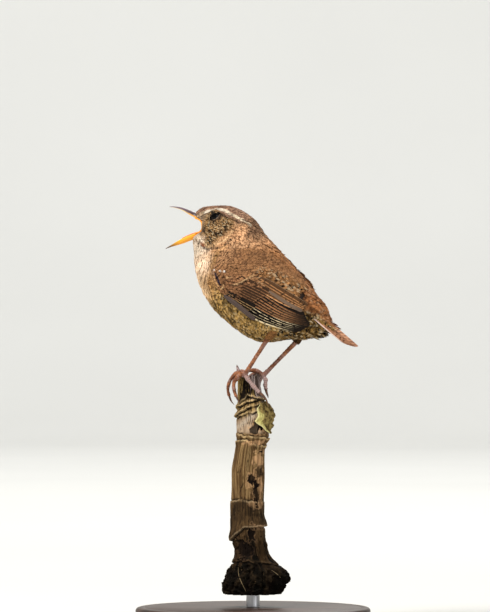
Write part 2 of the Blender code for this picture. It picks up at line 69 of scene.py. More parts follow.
LID_RADIUS = 2.42
GAPE_TOP, GAPE_BOTTOM = (-19.5, 153.9), (-19.8, 149.9)
GAPE_CLEAR = 0.1

TAIL_ROOT, TAIL_TIP = np.array((18.9, 0.0, 124.0)), np.array((41.0, 0.0, 105.6))
TAIL_ROLL = math.radians(4.0)
TAIL_CAMBER = 1.1

# The folded right wing: lower edge, middle and upper edge of its outer face at five places from bend to tip
WING_ROWS = (
    (-12.4, 12.4, 129.0, -14.7, 12.2, 134.4, -12.2, 11.6, 140.4),
    (-5.6, 15.1, 123.4, -5.2, 15.6, 132.6, -2.6, 12.4, 142.3),
    (3.6, 14.8, 116.9, 5.6, 15.7, 127.6, 8.6, 9.8, 140.0),
    (13.6, 12.6, 112.9, 15.2, 13.2, 121.7, 18.2, 6.1, 133.2),
    (24.6, 8.3, 110.9, 22.8, 9.3, 118.3, 25.5, 4.9, 125.2),
)

# How the coat changes from the bill to the tail: section, feather length, half width, spacing and coat depth
COAT_ROWS = (
    (0.0, 1.15, 0.26, 0.34, 0.3),
    (1.0, 1.5, 0.32, 0.37, 0.45),
    (2.2, 1.9, 0.4, 0.42, 0.6),
    (3.4, 2.5, 0.55, 0.52, 0.8),
    (4.6, 4.2, 0.95, 0.78, 1.2),
    (6.0, 5.4, 1.25, 0.86, 1.5),
    (8.0, 5.8, 1.35, 0.88, 1.6),
    (9.5, 5.4, 1.2, 0.84, 1.3),
    (11.0, 4.6, 1.0, 0.8, 0.9),
)


def shade(red, green, blue):
    """The linear colour of screen values from 0 to 255."""
    screen = np.array((red, green, blue)) / 255
    return np.where(screen <= 0.04045, screen / 12.92, ((screen + 0.055) / 1.055) ** 2.4)


def smooth(low, high, value):
    t = np.clip((value - low) / (high - low), 0.0, 1.0)
    return t * t * (3 - 2 * t)


def blend(a, b, share):
    return a + (b - a) * share


def unit(vectors):
    return vectors / np.maximum(np.linalg.norm(vectors, axis=-1, keepdims=True), 1e-12)


def stacked(*parts):
    return np.stack(parts, axis=-1)


def circle(count):
    """Evenly spaced angles once round."""
    return np.linspace(0, math.tau, count, endpoint=False)


def between(dark, light, share):
    """A colour between two screen colours."""
    return blend(shade(*dark), shade(*light), share)


def painted(tint, *layers):
    """The tint under layers of colour and their shares."""
    for colour, share in layers:
        tint = blend(tint, colour, share[..., None])
    return tint


def lattice_noise(points, seed):
    """Smooth noise from -1 to 1 at points, the same for the same seed."""
    cell = np.floor(points).astype(np.int64)
    f = points - cell
    f = f * f * (3 - 2 * f)
    total = np.zeros(points.shape[:-1])
    for corner in np.ndindex(2, 2, 2):
        at = cell + corner
        key = (at[..., 0] * 73856093) ^ (at[..., 1] * 19349663)
        key = key ^ (at[..., 2] * 83492791) ^ (seed * 2654435761)
        key = (key ^ (key >> 13)) * 1274126177 & 0x7FFFFFFF
        key = (key ^ (key >> 15)) * 668265263 & 0x7FFFFFFF
        weight = np.prod([f[..., k] if corner[k] else 1 - f[..., k] for k in range(3)], axis=0)
        total += weight * (key / 0x3FFFFFFF - 1.0)
    return total


def layered_noise(points, seed, layers=4):
    """Noise with finer and fainter layers over its first one."""
    return sum(lattice_noise(points * 2.0**k, seed + k) / 2.0**k for k in range(layers))


def along_rows(rows, at):
    """A smooth curve through evenly counted rows, straight beyond its ends."""
    rows = np.asarray(rows, float)
    last = len(rows) - 1
    at = np.asarray(at, float)
    inside = np.clip(at, 0, last)
    i = np.minimum(inside.astype(int), last - 1)
    f = (inside - i)[..., None]
    padded = np.vstack([2 * rows[0] - rows[1], rows, 2 * rows[-1] - rows[-2]])
    before, a, b, after = (padded[i + k] for k in range(4))
    cubic = (3 * a - 3 * b + after - before) * f**3
    curve = 0.5 * (2 * a + (b - before) * f + (2 * before - 5 * a + 4 * b - after) * f * f + cubic)
    beyond = (at - inside)[..., None]
    slope = np.where(beyond < 0, rows[1] - rows[0], rows[-1] - rows[-2])
    return curve + beyond * slope


def table(rows, at):
    """The columns of a table whose first column is the place, read between its rows."""
    rows = np.asarray(rows, float)
    return [np.interp(at, rows[:, 0], column) for column in rows[:, 1:].T]


def turned(points, share=1.0):
    """Points of the straight bird after the head's turn, or a share of it."""
    points = np.asarray(points, float)
    angle = HEAD_TURN * share
    dx, y = points[..., 0] - NECK_X, points[..., 1]
    cosine, sine = np.cos(angle), np.sin(angle)
    return stacked(NECK_X + dx * cosine - y * sine, dx * sine + y * cosine, points[..., 2])


def straight_body(u, phi, lift=0.0):
    """The body's outline before the head's turn; u runs from bill to tail, phi round from the back."""
    top_x, top_z, low_x, low_z, half_width, egg = np.moveaxis(along_rows(SECTIONS, u), -1, 0)
    across, up = (top_x - low_x) / 2, (top_z - low_z) / 2
    half_height = np.hypot(across, up)
    reach = (half_height + lift) / half_height * np.cos(phi)
    x = (top_x + low_x) / 2 + across * reach
    z = (top_z + low_z) / 2 + up * reach
    y = (half_width + lift) * np.sin(phi) * (1 + egg * np.cos(phi))
    return stacked(x, y, z)


def body(u, phi, lift=0.0):
    share = 1 - smooth(TURN_FROM, TURN_TO, u)
    return turned(straight_body(u, phi, lift), share)


def coat(u, phi, lift=0.0):
    """The body as the feathers lie on it: out over the eyelids, and drawn in where the tail's edges show."""
    points = straight_body(u, phi, lift)
    side = np.where(points[..., 1:2] < 0, -1.0, 1.0)
    centre = EYE * np.concatenate([np.ones_like(side), side, np.ones_like(side)], axis=-1)
    away = points - centre
    reach = np.linalg.norm(away, axis=-1, keepdims=True)
    depth = table(COAT_ROWS, np.clip(u, 0, 11))[3]
    lid = LID_RADIUS + 0.06 + 0.5 * np.maximum(depth + lift, 0)[..., None]
    points = np.where(reach < lid, centre + away * lid / np.maximum(reach, 1e-6), points)
    tail = unit(TAIL_TIP - TAIL_ROOT)
    height = (points - TAIL_ROOT) @ np.array((-tail[2], 0.0, tail[0]))
    drawn_in = smooth(2.6, 1.2, np.abs(height + 0.6)) * smooth(21.0, 26.0, points[..., 0])
    narrow = np.sign(points[..., 1]) * np.minimum(np.abs(points[..., 1]), 4.0 + 0.5 * lift)
    points[..., 1] = blend(points[..., 1], narrow, drawn_in)
    return turned(points, 1 - smooth(TURN_FROM, TURN_TO, u))


def frame_at(surface, a, b):
    """Place, both tangents and the outward normal of a surface at its chart places a and b."""
    step = 0.004
    here = surface(a, b)
    ta = (surface(a + step, b) - surface(a - step, b)) / (2 * step)
    tb = (surface(a, b + step) - surface(a, b - step)) / (2 * step)
    return here, ta, tb, unit(np.cross(ta, tb))


def wing_face(s, t, lift=0.0):
    """The folded right wing's outer face: s from the bend to the tips, t from the upper edge down to -1."""
    def bare(s, t):
        rows = along_rows(WING_ROWS, s * (len(WING_ROWS) - 1))
        low, middle, high = rows[..., 0:3], rows[..., 3:6], rows[..., 6:9]
        h = 1 + t[..., None]
        return low * (1 - h) * (1 - 2 * h) + middle * 4 * h * (1 - h) + high * h * (2 * h - 1)

    s, t = np.broadcast_arrays(np.asarray(s, float), np.asarray(t, float))
    step = 0.004
    points = bare(s, t)
    normal = np.cross(bare(s + step, t) - bare(s - step, t), bare(s, t - step) - bare(s, t + step))
    return points + unit(normal) * np.asarray(lift, float)[..., None]


def chart_step(ta, tb, move):
    """The change of both chart places that moves a point by a small vector."""
    aa, bb, ab = ((p * q).sum(-1) for p, q in ((ta, ta), (tb, tb), (ta, tb)))
    va, vb = (move * ta).sum(-1), (move * tb).sum(-1)
    square = aa * bb - ab * ab
    return (va * bb - vb * ab) / square, (vb * aa - va * ab) / square


class Value:
    """A socket of a finish's nodes, on which arithmetic adds Math nodes."""

    def __init__(self, finish, socket):
        self.finish, self.socket = finish, socket

    def math(self, operation, *others, clamp=False):
        settings = {"operation": operation, "use_clamp": clamp}
        return self.finish.node("ShaderNodeMath", settings, dict(enumerate((self, *others))))

    def __add__(self, other):
        return self.math("ADD", other)

    __radd__ = __add__

    def __mul__(self, other):
        return self.math("MULTIPLY", other)

    __rmul__ = __mul__

    def __sub__(self, other):
        return self.math("SUBTRACT", other)

    def __rsub__(self, other):
        return self.finish.node("ShaderNodeMath", {"operation": "SUBTRACT"}, {0: other, 1: self})

    def __truediv__(self, other):
        return self.math("DIVIDE", other)

    def __abs__(self):
        return self.math("ABSOLUTE")

    def fraction(self):
        return self.math("FRACT")

    def sine(self):
        return self.math("SINE")

    def larger(self, other):
        return self.math("MAXIMUM", other)

    def held(self):
        return self.math("ADD", 0.0, clamp=True)

    def ease(self, low, high):
        """0 below low, 1 above high and a soft step between, or the reverse where low is the larger."""
        inputs = {"Value": self, "From Min": low, "From Max": high}
        return self.finish.node("ShaderNodeMapRange", {"interpolation_type": "SMOOTHSTEP"}, inputs)


class Finish:
    """A material with one Principled shader, whose nodes are written as expressions."""

    def __init__(self, name, roughness=0.6, specular=0.4, **fixed):
        self.material = bpy.data.materials.new(name)
        self.material.use_nodes = True
        self.tree = self.material.node_tree
        self.shader = self.tree.nodes["Principled BSDF"]
        for socket, value in {"Roughness": roughness, "Specular IOR Level": specular, **fixed}.items():
            self.shader.inputs[socket].default_value = value

    def node(self, kind, settings=None, inputs=None, output=0):
        made = self.tree.nodes.new(kind)
        for key, value in (settings or {}).items():
            setattr(made, key, value)
        for key, value in (inputs or {}).items():
            self.plug(value, made.inputs[key])
        return Value(self, made.outputs[output])

    def plug(self, value, socket):
        if isinstance(value, Value):
            self.tree.links.new(value.socket, socket)
        elif isinstance(value, (int, float)):
            socket.default_value = value
        else:
            wanted = len(socket.default_value)
            socket.default_value = (*(float(v) for v in value), 1.0)[:wanted]

    def attribute(self, name, output="Vector"):
        return self.node("ShaderNodeAttribute", {"attribute_name": name}, output=output)

    def parts(self, vector):
        split = self.node("ShaderNodeSeparateXYZ", inputs={0: vector})
        return split, *(Value(self, split.socket.node.outputs[k]) for k in (1, 2))

    def mix(self, share, a, b, how="MIX"):
        settings = {"data_type": "RGBA", "blend_type": how}
        return self.node("ShaderNodeMix", settings, {0: share, 6: a, 7: b}, output=2)

    def place(self):
        return self.node("ShaderNodeTexCoord", output="Object")

    def between(self, share, dark, light):
        return self.mix(share, shade(*dark), shade(*light))

    def scaled(self, colour, level):
        grey = self.node("ShaderNodeCombineXYZ", inputs={0: level, 1: level, 2: level})
        return self.mix(1.0, colour, grey, "MULTIPLY")

    def stretched(self, scale):
        return self.node("ShaderNodeVectorMath", {"operation": "MULTIPLY"}, {0: self.place(), 1: scale})

    def noise(self, scale, vector=None, detail=3.0, roughness=0.55):
        inputs = {"Vector": vector or self.place(), "Scale": scale, "Detail": detail, "Roughness": roughness}
        return self.node("ShaderNodeTexNoise", inputs=inputs, output="Fac")

    def cell_edges(self, scale):
        inputs = {"Vector": self.place(), "Scale": scale}
        return self.node("ShaderNodeTexVoronoi", {"feature": "DISTANCE_TO_EDGE"}, inputs, output="Distance")

    def bump(self, height, strength, distance):
        inputs = {"Height": height, "Strength": strength, "Distance": distance}
        self.plug(self.node("ShaderNodeBump", inputs=inputs), self.shader.inputs["Normal"])

    def colour(self, value):
        self.plug(value, self.shader.inputs["Base Color"])

    def rough(self, value):
        self.plug(value, self.shader.inputs["Roughness"])


def plumage_finish(name, barb_pitch, bump, ragged_by=0.4, faint=0.4, downy=0.4, dark_web_and_shadow=False):
    """Feathers: a tint with dark bars, a dark downy root, a shaft, barbs and a pale tip."""
    finish = Finish(name, roughness=0.8, specular=0.1)
    along, across, share = finish.parts(finish.attribute("place"))
    period, duty, phase = finish.parts(finish.attribute("bars"))
    spot, edge, chance = finish.parts(finish.attribute("tip"))
    tint, ink = finish.attribute("tint", "Color"), finish.attribute("ink", "Color")
    side = abs(across)
    ragged = finish.noise(900.0, detail=2.0) - 0.5
    reach = along + side * side * period * 0.35 + ragged * period * ragged_by
    from_bar = abs((reach / period + phase).fraction() * 2.0 - 1.0)
    bar = (from_bar - duty + ragged * 0.5).ease(0.22, -0.22)
    bar = bar * (finish.noise(420.0, detail=1.0).ease(0.4, 0.56) * (1 - faint) + faint)
    rim = (side + ragged * 0.3).larger(share * 1.05).ease(0.76, 0.98) * edge.held()
    dark = bar.larger(rim)
    # Darker inner sides of quills: partly their own dark web, partly painted shadow of the quill that
    # overlaps them
    if dark_web_and_shadow:
        dark = dark.larger((across * -1.0 + ragged * 0.3).ease(0.66, 0.46) * chance)
    colour = finish.mix(dark, tint, ink)
    fringe = side.ease(0.86, 0.98) * (0 - edge).held()
    light = finish.mix(0.55, tint, shade(250, 230, 190))
    colour = finish.mix(fringe, colour, light)
    pale = share.ease(0.7, 0.88) * side.ease(0.85, 0.45) * spot.held()
    gloom = share.ease(0.58, 0.94) * (0 - spot).held()
    colour = finish.mix(pale, colour, light)
    colour = finish.mix(gloom, colour, shade(26, 18, 12))
    down = share.ease(0.45, 0.15)
    colour = finish.mix(down * downy, colour, shade(58, 48, 42))
    barbs = ((along - side * 0.5) * (math.tau / barb_pitch)).sine()
    fine = finish.noise(2600.0, detail=1.0) - 0.5
    broad = finish.noise(260.0, detail=2.0) - 0.5
    lie = finish.node("ShaderNodeCombineXYZ", inputs={0: along * 0.4, 1: across * 2.6, 2: chance * 37.0})
    streak = finish.noise(1.0, lie, detail=2.0) - 0.5
    strand = barbs * 0.04 + streak * 0.6 + fine * 0.16 + broad * 0.4 + (chance - 0.5) * 0.1
    shaft = side.ease(0.1, 0.03) * 0.25
    finish.colour(finish.scaled(colour, strand - shaft + 1.0))
    finish.bump(barbs * 0.5 + fine, bump, 0.00008)
    return finish.material


def plain_finish(name, colour, spread, roughness=0.5, specular=0.4, scale=900.0, bump=0.3, depth=0.0001):
    """A finish for small parts: one colour, lighter and darker in patches."""
    finish = Finish(name, roughness=roughness, specular=specular)
    patches = finish.noise(scale, detail=4.0)
    light, dark = np.clip(np.asarray(colour) * (1 + spread), 0, 1), np.asarray(colour) * (1 - spread)
    finish.colour(finish.mix(patches.ease(0.3, 0.7), dark, light))
    finish.bump(finish.noise(scale * 2.5, detail=2.0), bump, depth)
    return finish.material


def linked(name, data):
    """A new object in the scene."""
    made = bpy.data.objects.new(name, data)
    bpy.context.scene.collection.objects.link(made)
    return made


def add_piece(name, points, faces, material, slot, layers=None, uv=None, replaced=()):
    """A mesh object from points in millimetres and arrays of faces, riding on the one body."""
    mesh = bpy.data.meshes.new(name)
    points = np.asarray(points, float).reshape(-1, 3)
    mesh.vertices.add(len(points))
    mesh.vertices.foreach_set("co", (points * MM).ravel())
    corners = np.concatenate([np.asarray(f).ravel() for f in faces]).astype(np.int32)
    sizes = np.concatenate([np.full(len(f), np.shape(f)[1]) for f in faces])
    starts = np.concatenate([[0], np.cumsum(sizes)[:-1]]).astype(np.int32)
    mesh.loops.add(len(corners))
    mesh.loops.foreach_set("vertex_index", corners)
    mesh.polygons.add(len(sizes))
    mesh.polygons.foreach_set("loop_start", starts)
    mesh.update(calc_edges=True)
    for key, data in (layers or {}).items():
        add_layer(mesh, key, data)
    if uv is not None:
        layer = mesh.uv_layers.new(name="OFBake")
        layer.data.foreach_set("uv", np.asarray(uv, float).reshape(-1, 2)[corners].ravel())
    mesh.shade_smooth()
    mesh.materials.append(material)
    piece = linked(name, mesh)
    settle(piece, replaced)
    return piece


def add_layer(mesh, key, data):
    data = np.asarray(data, float)
    width = data.shape[-1]
    kind, field = ("FLOAT_COLOR", "color") if key in ("tint", "ink") else ("FLOAT_VECTOR", "vector")
    data = data.reshape(-1, width)
    if kind == "FLOAT_COLOR" and width == 3:
        data = np.column_stack([data, np.ones(len(data))])
    layer = mesh.attributes.new(key, kind, "POINT")
    layer.data.foreach_set(field, data.ravel())


def settle(piece, replaced=()):
    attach(piece, "root")
    if replaced:
        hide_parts(*replaced)


def grid_faces(rows, columns, closed=False, offset=0):
    """Quads between rows of points; closed joins each row's last point to its first."""
    i, j = np.meshgrid(np.arange(rows - 1), np.arange(columns if closed else columns - 1), indexing="ij")
    after = (j + 1) % columns
    corners = (i * columns + j, i * columns + after, (i + 1) * columns + after, (i + 1) * columns + j)
    return np.stack([c.ravel() for c in corners], axis=-1) + offset


class Vane:
    """A feather's outline in shares of its length and half width, a blade with loose barbs at its edges."""

    def __init__(self, stations, widths, sweep, columns, barbs=0, blade=1.0, fan=0, seed=1):
        self.stations = np.asarray(stations, float)
        widths = np.asarray(widths, float)
        across = np.concatenate([-np.asarray(columns[::-1]), [0.0], columns])
        count, rows = len(across), len(stations)
        row, q = (grid.ravel() for grid in np.meshgrid(np.arange(rows), across, indexing="ij"))
        share = self.stations[row] + sweep * np.abs(q) * widths[row]
        side, loose = widths[row] * q * blade, 0 * q
        teeth, bands = [], []
        rng = np.random.default_rng(seed)
        roots = [(x, sign, 0.0) for x in np.linspace(0.16, 0.93, barbs) for sign in (-1, 1)]
        roots += [(0.95, 1, angle) for angle in np.linspace(-0.5, 0.5, fan)]
        half = 0.3 * 0.77 / max(barbs, 1)
        for x, sign, angle in roots:
            width = np.interp(x, stations, widths)
            tip_x = min(x + rng.uniform(0.15, 0.24), 1.06)
            if x == 0.95:
                inner, outer = angle * 0.25, angle * 0.45
                tip_x = 1.1 - 0.25 * abs(angle) + rng.uniform(-0.04, 0.04)
            else:
                inner = sign * width * blade * 0.85
                outer = sign * np.interp(tip_x, stations, widths) * rng.uniform(0.86, 1.12)
            middle_x, middle = blend(x, tip_x, 0.55), blend(inner, outer, 0.62)
            corner = len(share)
            slim = half * 0.8
            share = np.append(share, (x - half, x + half, middle_x - slim, middle_x + slim, tip_x))
            side = np.append(side, (inner, inner, middle, middle, outer))
            loose = np.append(loose, (0, 0, 0.5, 0.5, 1))
            a, b, c, d, tip = range(corner, corner + 5)
            bands.append((a, c, d, b) if sign > 0 else (a, b, d, c))
            teeth.append((c, tip, d) if sign > 0 else (c, d, tip))
        self.row = np.abs(share[:, None] - self.stations[None]).argmin(1)
        self.row[:rows * count] = row
        self.forward = share - self.stations[self.row]
        self.side, self.loose, self.share = side, loose, np.clip(share, 0, 1.1)
        outline = np.maximum(np.interp(share, stations, widths), 0.3)
        self.q = np.clip(side / outline, -1, 1)
        self.q[:rows * count] = q
        self.quads = np.concatenate([grid_faces(rows, count), np.reshape(bands, (-1, 4)).astype(int)])
        self.teeth = np.reshape(teeth, (-1, 3)).astype(int)


CONTOUR = Vane(
    (0.0, 0.3, 0.5, 0.66, 0.8, 0.9, 0.98), (0.35, 0.85, 1.0, 0.98, 0.82, 0.6, 0.28), 0.05, (1.0,),
    barbs=11, blade=0.6, fan=5,
)
TUFT = Vane(
    (0.0, 0.45, 0.75, 0.97), (0.4, 1.0, 0.85, 0.25), 0.05, (1.0,), barbs=5, blade=0.55, fan=3, seed=2,
)
QUILL = Vane(
    np.concatenate([np.linspace(0.0, 0.9, 22), (0.935, 0.96, 0.98, 0.993, 1.0)]),
    np.concatenate([np.linspace(0.6, 1.0, 6), np.full(16, 1.0), (0.93, 0.8, 0.62, 0.38, 0.1)]),
    0.01,
    (0.3, 0.62, 0.85, 1.0),
)


def trails(surface, a, b, turn, length, stations):
    """Centre lines of feathers that start at chart places a and b and lie along the surface."""
    kept = {key: [] for key in ("a", "b", "ta", "tb", "heading", "across")}
    heading = None
    steps = np.append(np.diff(stations), 0.0)
    for step in steps:
        _, ta, tb, normal = frame_at(surface, a, b)
        if heading is None:
            lie = unit(ta)
            heading = lie * np.cos(turn)[:, None] + np.cross(normal, lie) * np.sin(turn)[:, None]
        heading = unit(heading - normal * (heading * normal).sum(-1, keepdims=True))
        row = {"a": a, "b": b, "ta": ta, "tb": tb, "heading": heading, "across": np.cross(normal, heading)}
        for key, value in row.items():
            kept[key].append(value)
        da, db = chart_step(ta, tb, heading * (length * step)[:, None])
        a, b = a + da, b + db
    return {key: np.stack(values, axis=1) for key, values in kept.items()}


def routes(surface, starts, ends, bow, stations):
    """Centre lines of quills between chart places, bowed to one side, with each quill's length."""
    x = np.asarray(stations)[None, :, None]
    starts, ends = np.asarray(starts, float)[:, None], np.asarray(ends, float)[:, None]
    places = starts + (ends - starts) * x
    a, b = places[..., 0], places[..., 1] + np.asarray(bow)[:, None] * 4 * x[..., 0] * (1 - x[..., 0])
    here, ta, tb, normal = frame_at(surface, a, b)
    heading = unit(np.gradient(here, axis=1))
    path = {"a": a, "b": b, "ta": ta, "tb": tb, "heading": heading, "across": np.cross(normal, heading)}
    return path, np.linalg.norm(np.diff(here, axis=1), axis=-1).sum(1)


def spread(surface, vane, path, length, half_width, low, high, rng, camber=0.12, ruffle=0.0, rise=1.5):
    """The points of every feather with their chart places, a row for each feather."""
    rows, size = vane.row, (len(length), len(vane.row))
    free = vane.loose[None]
    forward = vane.forward[None] * length[:, None] + free * rng.normal(0, 0.05, size) * length[:, None]
    side = vane.side[None] * half_width[:, None] * (1 + free * rng.normal(0, 0.14, size))
    move = path["heading"][:, rows] * forward[..., None] + path["across"][:, rows] * side[..., None]
    da, db = chart_step(path["ta"][:, rows], path["tb"][:, rows], move)
    share = np.clip(vane.share, 0, 1)[None]
    lift = low[:, None] + (high - low)[:, None] * (1 - (1 - share) ** rise)
    lift = lift - camber * half_width[:, None] * (vane.q**2)[None]
    lift = lift + ruffle * (rng.uniform(-1, 1, size) * free + rng.uniform(-0.3, 0.3, size))
    a, b = path["a"][:, rows] + da, path["b"][:, rows] + db
    return surface(a, b, lift), a, b


def flock(name, surface, vane, path, length, half_width, low, high, looks, uv, material, slot, replaced=(),
          mirrored=False, seed=0, **shape):
    """Many feathers joined into one piece, with their markings and a place each in its map."""
    rng = np.random.default_rng(seed)
    points, a, b = spread(surface, vane, path, length, half_width, low, high, rng, **shape)
    count, size = a.shape
    if mirrored:
        points = points * (1, -1, 1)
    base = (np.arange(count) * size)[:, None, None]
    quads = (vane.quads[None] + base).reshape(-1, 4)
    teeth = (vane.teeth[None] + base).reshape(-1, 3)
    if mirrored:
        quads, teeth = quads[:, ::-1], teeth[:, ::-1]
    q = np.broadcast_to(vane.q, (count, size))
    share = np.broadcast_to(vane.share, (count, size))
    if callable(looks):
        looks = looks(a, b)
    layers = {"place": stacked(share * length[:, None], q, share)}
    for key in ("tint", "ink", "bars", "tip"):
        data = looks[key] if looks[key].ndim == 3 else looks[key][:, None]
        layers[key] = np.broadcast_to(data, (count, size, 3))
    faces = [quads, teeth] if len(teeth) else [quads]
    return add_piece(name, points, faces, material, slot, layers, uv(q, share), replaced)


def tuft_map(a, b):
    """A patch of the map for each feather, at its root's place."""
    def place(q, share):
        corner = stacked(a, b)[:, None]
        return corner + stacked(q, share * 2 - 1) * HALF_PATCH
    return place


def strip_map(count):
    """A tall strip of the map for each quill."""
    def place(q, share):
        left = (np.arange(count)[:, None] + 0.5) / count
        return stacked(left + q * 0.42 / count, 0.03 + share * 0.85)
    return place


NEAR_CELLS = tuple((i, j, k) for i in (-1, 0, 1) for j in (-1, 0, 1) for k in (-1, 0, 1))


def scatter(surface, a_range, b_range, spacing, keep, rng, tries):
    """Evenly spaced random chart places, with room between them that may change over the surface."""
    a = rng.uniform(*a_range, tries)
    b = rng.uniform(*b_range, tries)
    here, ta, tb, _ = frame_at(surface, a, b)
    area = np.linalg.norm(np.cross(ta, tb), axis=-1)
    room = spacing(a, b)
    density = area / room**2
    chosen = (rng.uniform(0, 1, tries) < density / np.quantile(density, 0.97)) & keep(a, b, here)
    a, b, here, room = a[chosen], b[chosen], here[chosen], room[chosen]
    cell = room.max()
    taken, kept = {}, []
    keys = np.floor(here / cell).astype(int)
    for n, (key, point, own) in enumerate(zip(keys.tolist(), here.tolist(), room.tolist())):
        if not crowded(taken, key, point, own):
            taken.setdefault(tuple(key), []).append(point)
            kept.append(n)
    return a[kept], b[kept], here[kept]


def everywhere(a, b, here):
    return np.full(len(a), True)


def crowded(taken, key, point, own):
    """True where a taken point lies within a new point's own room."""
    for i, j, k in NEAR_CELLS:
        for x, y, z in taken.get((key[0] + i, key[1] + j, key[2] + k), ()):
            if (x - point[0]) ** 2 + (y - point[1]) ** 2 + (z - point[2]) ** 2 < own * own:
                return True
    return False


# Colours of the coat by region. Each row is a range of sections and of degrees round from the back, how
# soft its edge is in both, the tint, the ink of its bars, and then the bars' share and period in mm, how
# mottled it is and how many feathers have pale tips
REGIONS = (
    ((5.0, 7.2), (0, 75), (0.5, 12), (184, 128, 81), (120, 80, 50), (0.26, 1.9, 0.6, 0.0)),
    ((3.9, 5.4), (0, 122), (0.7, 10), (212, 164, 121), (146, 102, 68), (0.28, 1.5, 0.6, 0.0)),
    ((3.6, 5.0), (0, 42), (0.4, 8), (150, 114, 84), (98, 68, 50), (0.3, 1.3, 0.6, 0.0)),
    ((-2.0, 3.9), (0, 52), (0.3, 6), (180, 140, 112), (92, 62, 50), (0.22, 1.2, 0.8, 0.0)),
    ((7.2, 12.0), (0, 62), (0.5, 10), (176, 116, 70), (92, 56, 34), (0.32, 2.0, 0.55, 0.25)),
    ((2.0, 3.8), (54, 116), (0.22, 5), (166, 127, 83), (30, 21, 13), (0.3, 1.2, 1.3, 0.95)),
    ((-2.0, 2.1), (44, 96), (0.25, 6), (200, 172, 140), (84, 64, 46), (0.2, 1.0, 0.9, 0.3)),
    ((-2.0, 3.9), (116, 181), (0.35, 6), (234, 214, 190), (176, 146, 112), (-0.2, 1.5, 0.2, 0.0)),
    ((4.4, 7.0), (88, 154), (0.4, 12), (176, 132, 84), (106, 74, 42), (0.24, 1.7, 0.8, 0.0)),
    ((3.9, 5.2), (118, 181), (0.5, 14), (248, 220, 190), (206, 162, 120), (-0.1, 1.6, 0.3, 0.0)),
    ((4.9, 6.5), (144, 181), (0.5, 14), (240, 208, 168), (190, 150, 106), (-0.05, 1.6, 0.3, 0.0)),
    ((6.2, 9.2), (92, 181), (0.5, 8), (196, 156, 90), (32, 23, 11), (0.34, 1.9, 1.0, 0.35)),
    ((8.4, 12.0), (60, 181), (0.35, 10), (160, 122, 66), (12, 9, 4), (0.72, 1.9, 0.9, 0.75)),
)
# Lines on the head, as sections and degrees from the back, half width in mm, colour and how broken each is
HEAD_LINES = (
    (((2.0, 48), (2.2, 41), (2.5, 37), (2.8, 36), (3.05, 39)), 0.8, (252, 240, 218), 0.25),
    (((2.9, 39), (3.1, 41), (3.4, 41), (3.75, 38), (4.25, 31)), 0.62, (240, 222, 190), 0.55),
    (((1.95, 57), (2.15, 50), (2.45, 45), (2.8, 45)), 0.24, (92, 66, 48), 0.4),
    (((2.85, 54), (3.15, 53), (3.4, 50), (3.8, 46)), 0.75, (50, 35, 24), 0.85),
    (((1.2, 68), (1.7, 64), (2.1, 62)), 0.4, (96, 74, 56), 0.6),
    (((3.3, 120), (3.75, 114), (3.95, 100), (4.12, 86), (4.05, 76), (3.95, 66)), 0.5, (230, 192, 144), 0.6),
    (((3.2, 129), (3.7, 122), (4.02, 110), (4.3, 97), (4.4, 88), (4.3, 76)), 0.46, (44, 30, 20), 0.45),
    (((3.1, 127), (3.4, 123)), 0.72, (150, 86, 48), 0.3),
    (((2.75, 125), (2.85, 131), (2.85, 137)), 0.34, (50, 36, 28), 0.3),
    (((2.3, 133), (3.0, 136)), 0.6, (140, 110, 84), 0.7),
)


def drawn_lines(tint, here, lines, outline, wobble, breaks):
    """The tint with lines on it; each is a path on a chart, which outline turns into millimetres."""
    covered = np.zeros(tint.shape[:-1])
    for line, half, colour, broken in lines:
        line = np.asarray(line, float)
        nearest = np.full(covered.shape, 1e9)
        for point in outline(along_rows(line, np.linspace(0, len(line) - 1, 6 * len(line)))):
            nearest = np.minimum(nearest, ((here - point) ** 2).sum(-1))
        away = np.sqrt(nearest) * (1 + wobble * 0.25)
        share = smooth(half * 1.35, half * 0.6, away) * (1 - broken * breaks)
        tint = painted(tint, (shade(*colour), share))
        covered = np.maximum(covered, share)
    return tint, covered


def region_share(u, around, u_range, around_range, soft):
    """How fully places belong to a region of the coat."""
    (u_low, u_high), (low, high), (u_soft, around_soft) = u_range, around_range, soft
    share = smooth(u_low - u_soft, u_low + u_soft, u) * (1 - smooth(u_high - u_soft, u_high + u_soft, u))
    if low > 0:
        share = share * smooth(low - around_soft, low + around_soft, around)
    if high < 180:
        share = share * (1 - smooth(high - around_soft, high + around_soft, around))
    return share


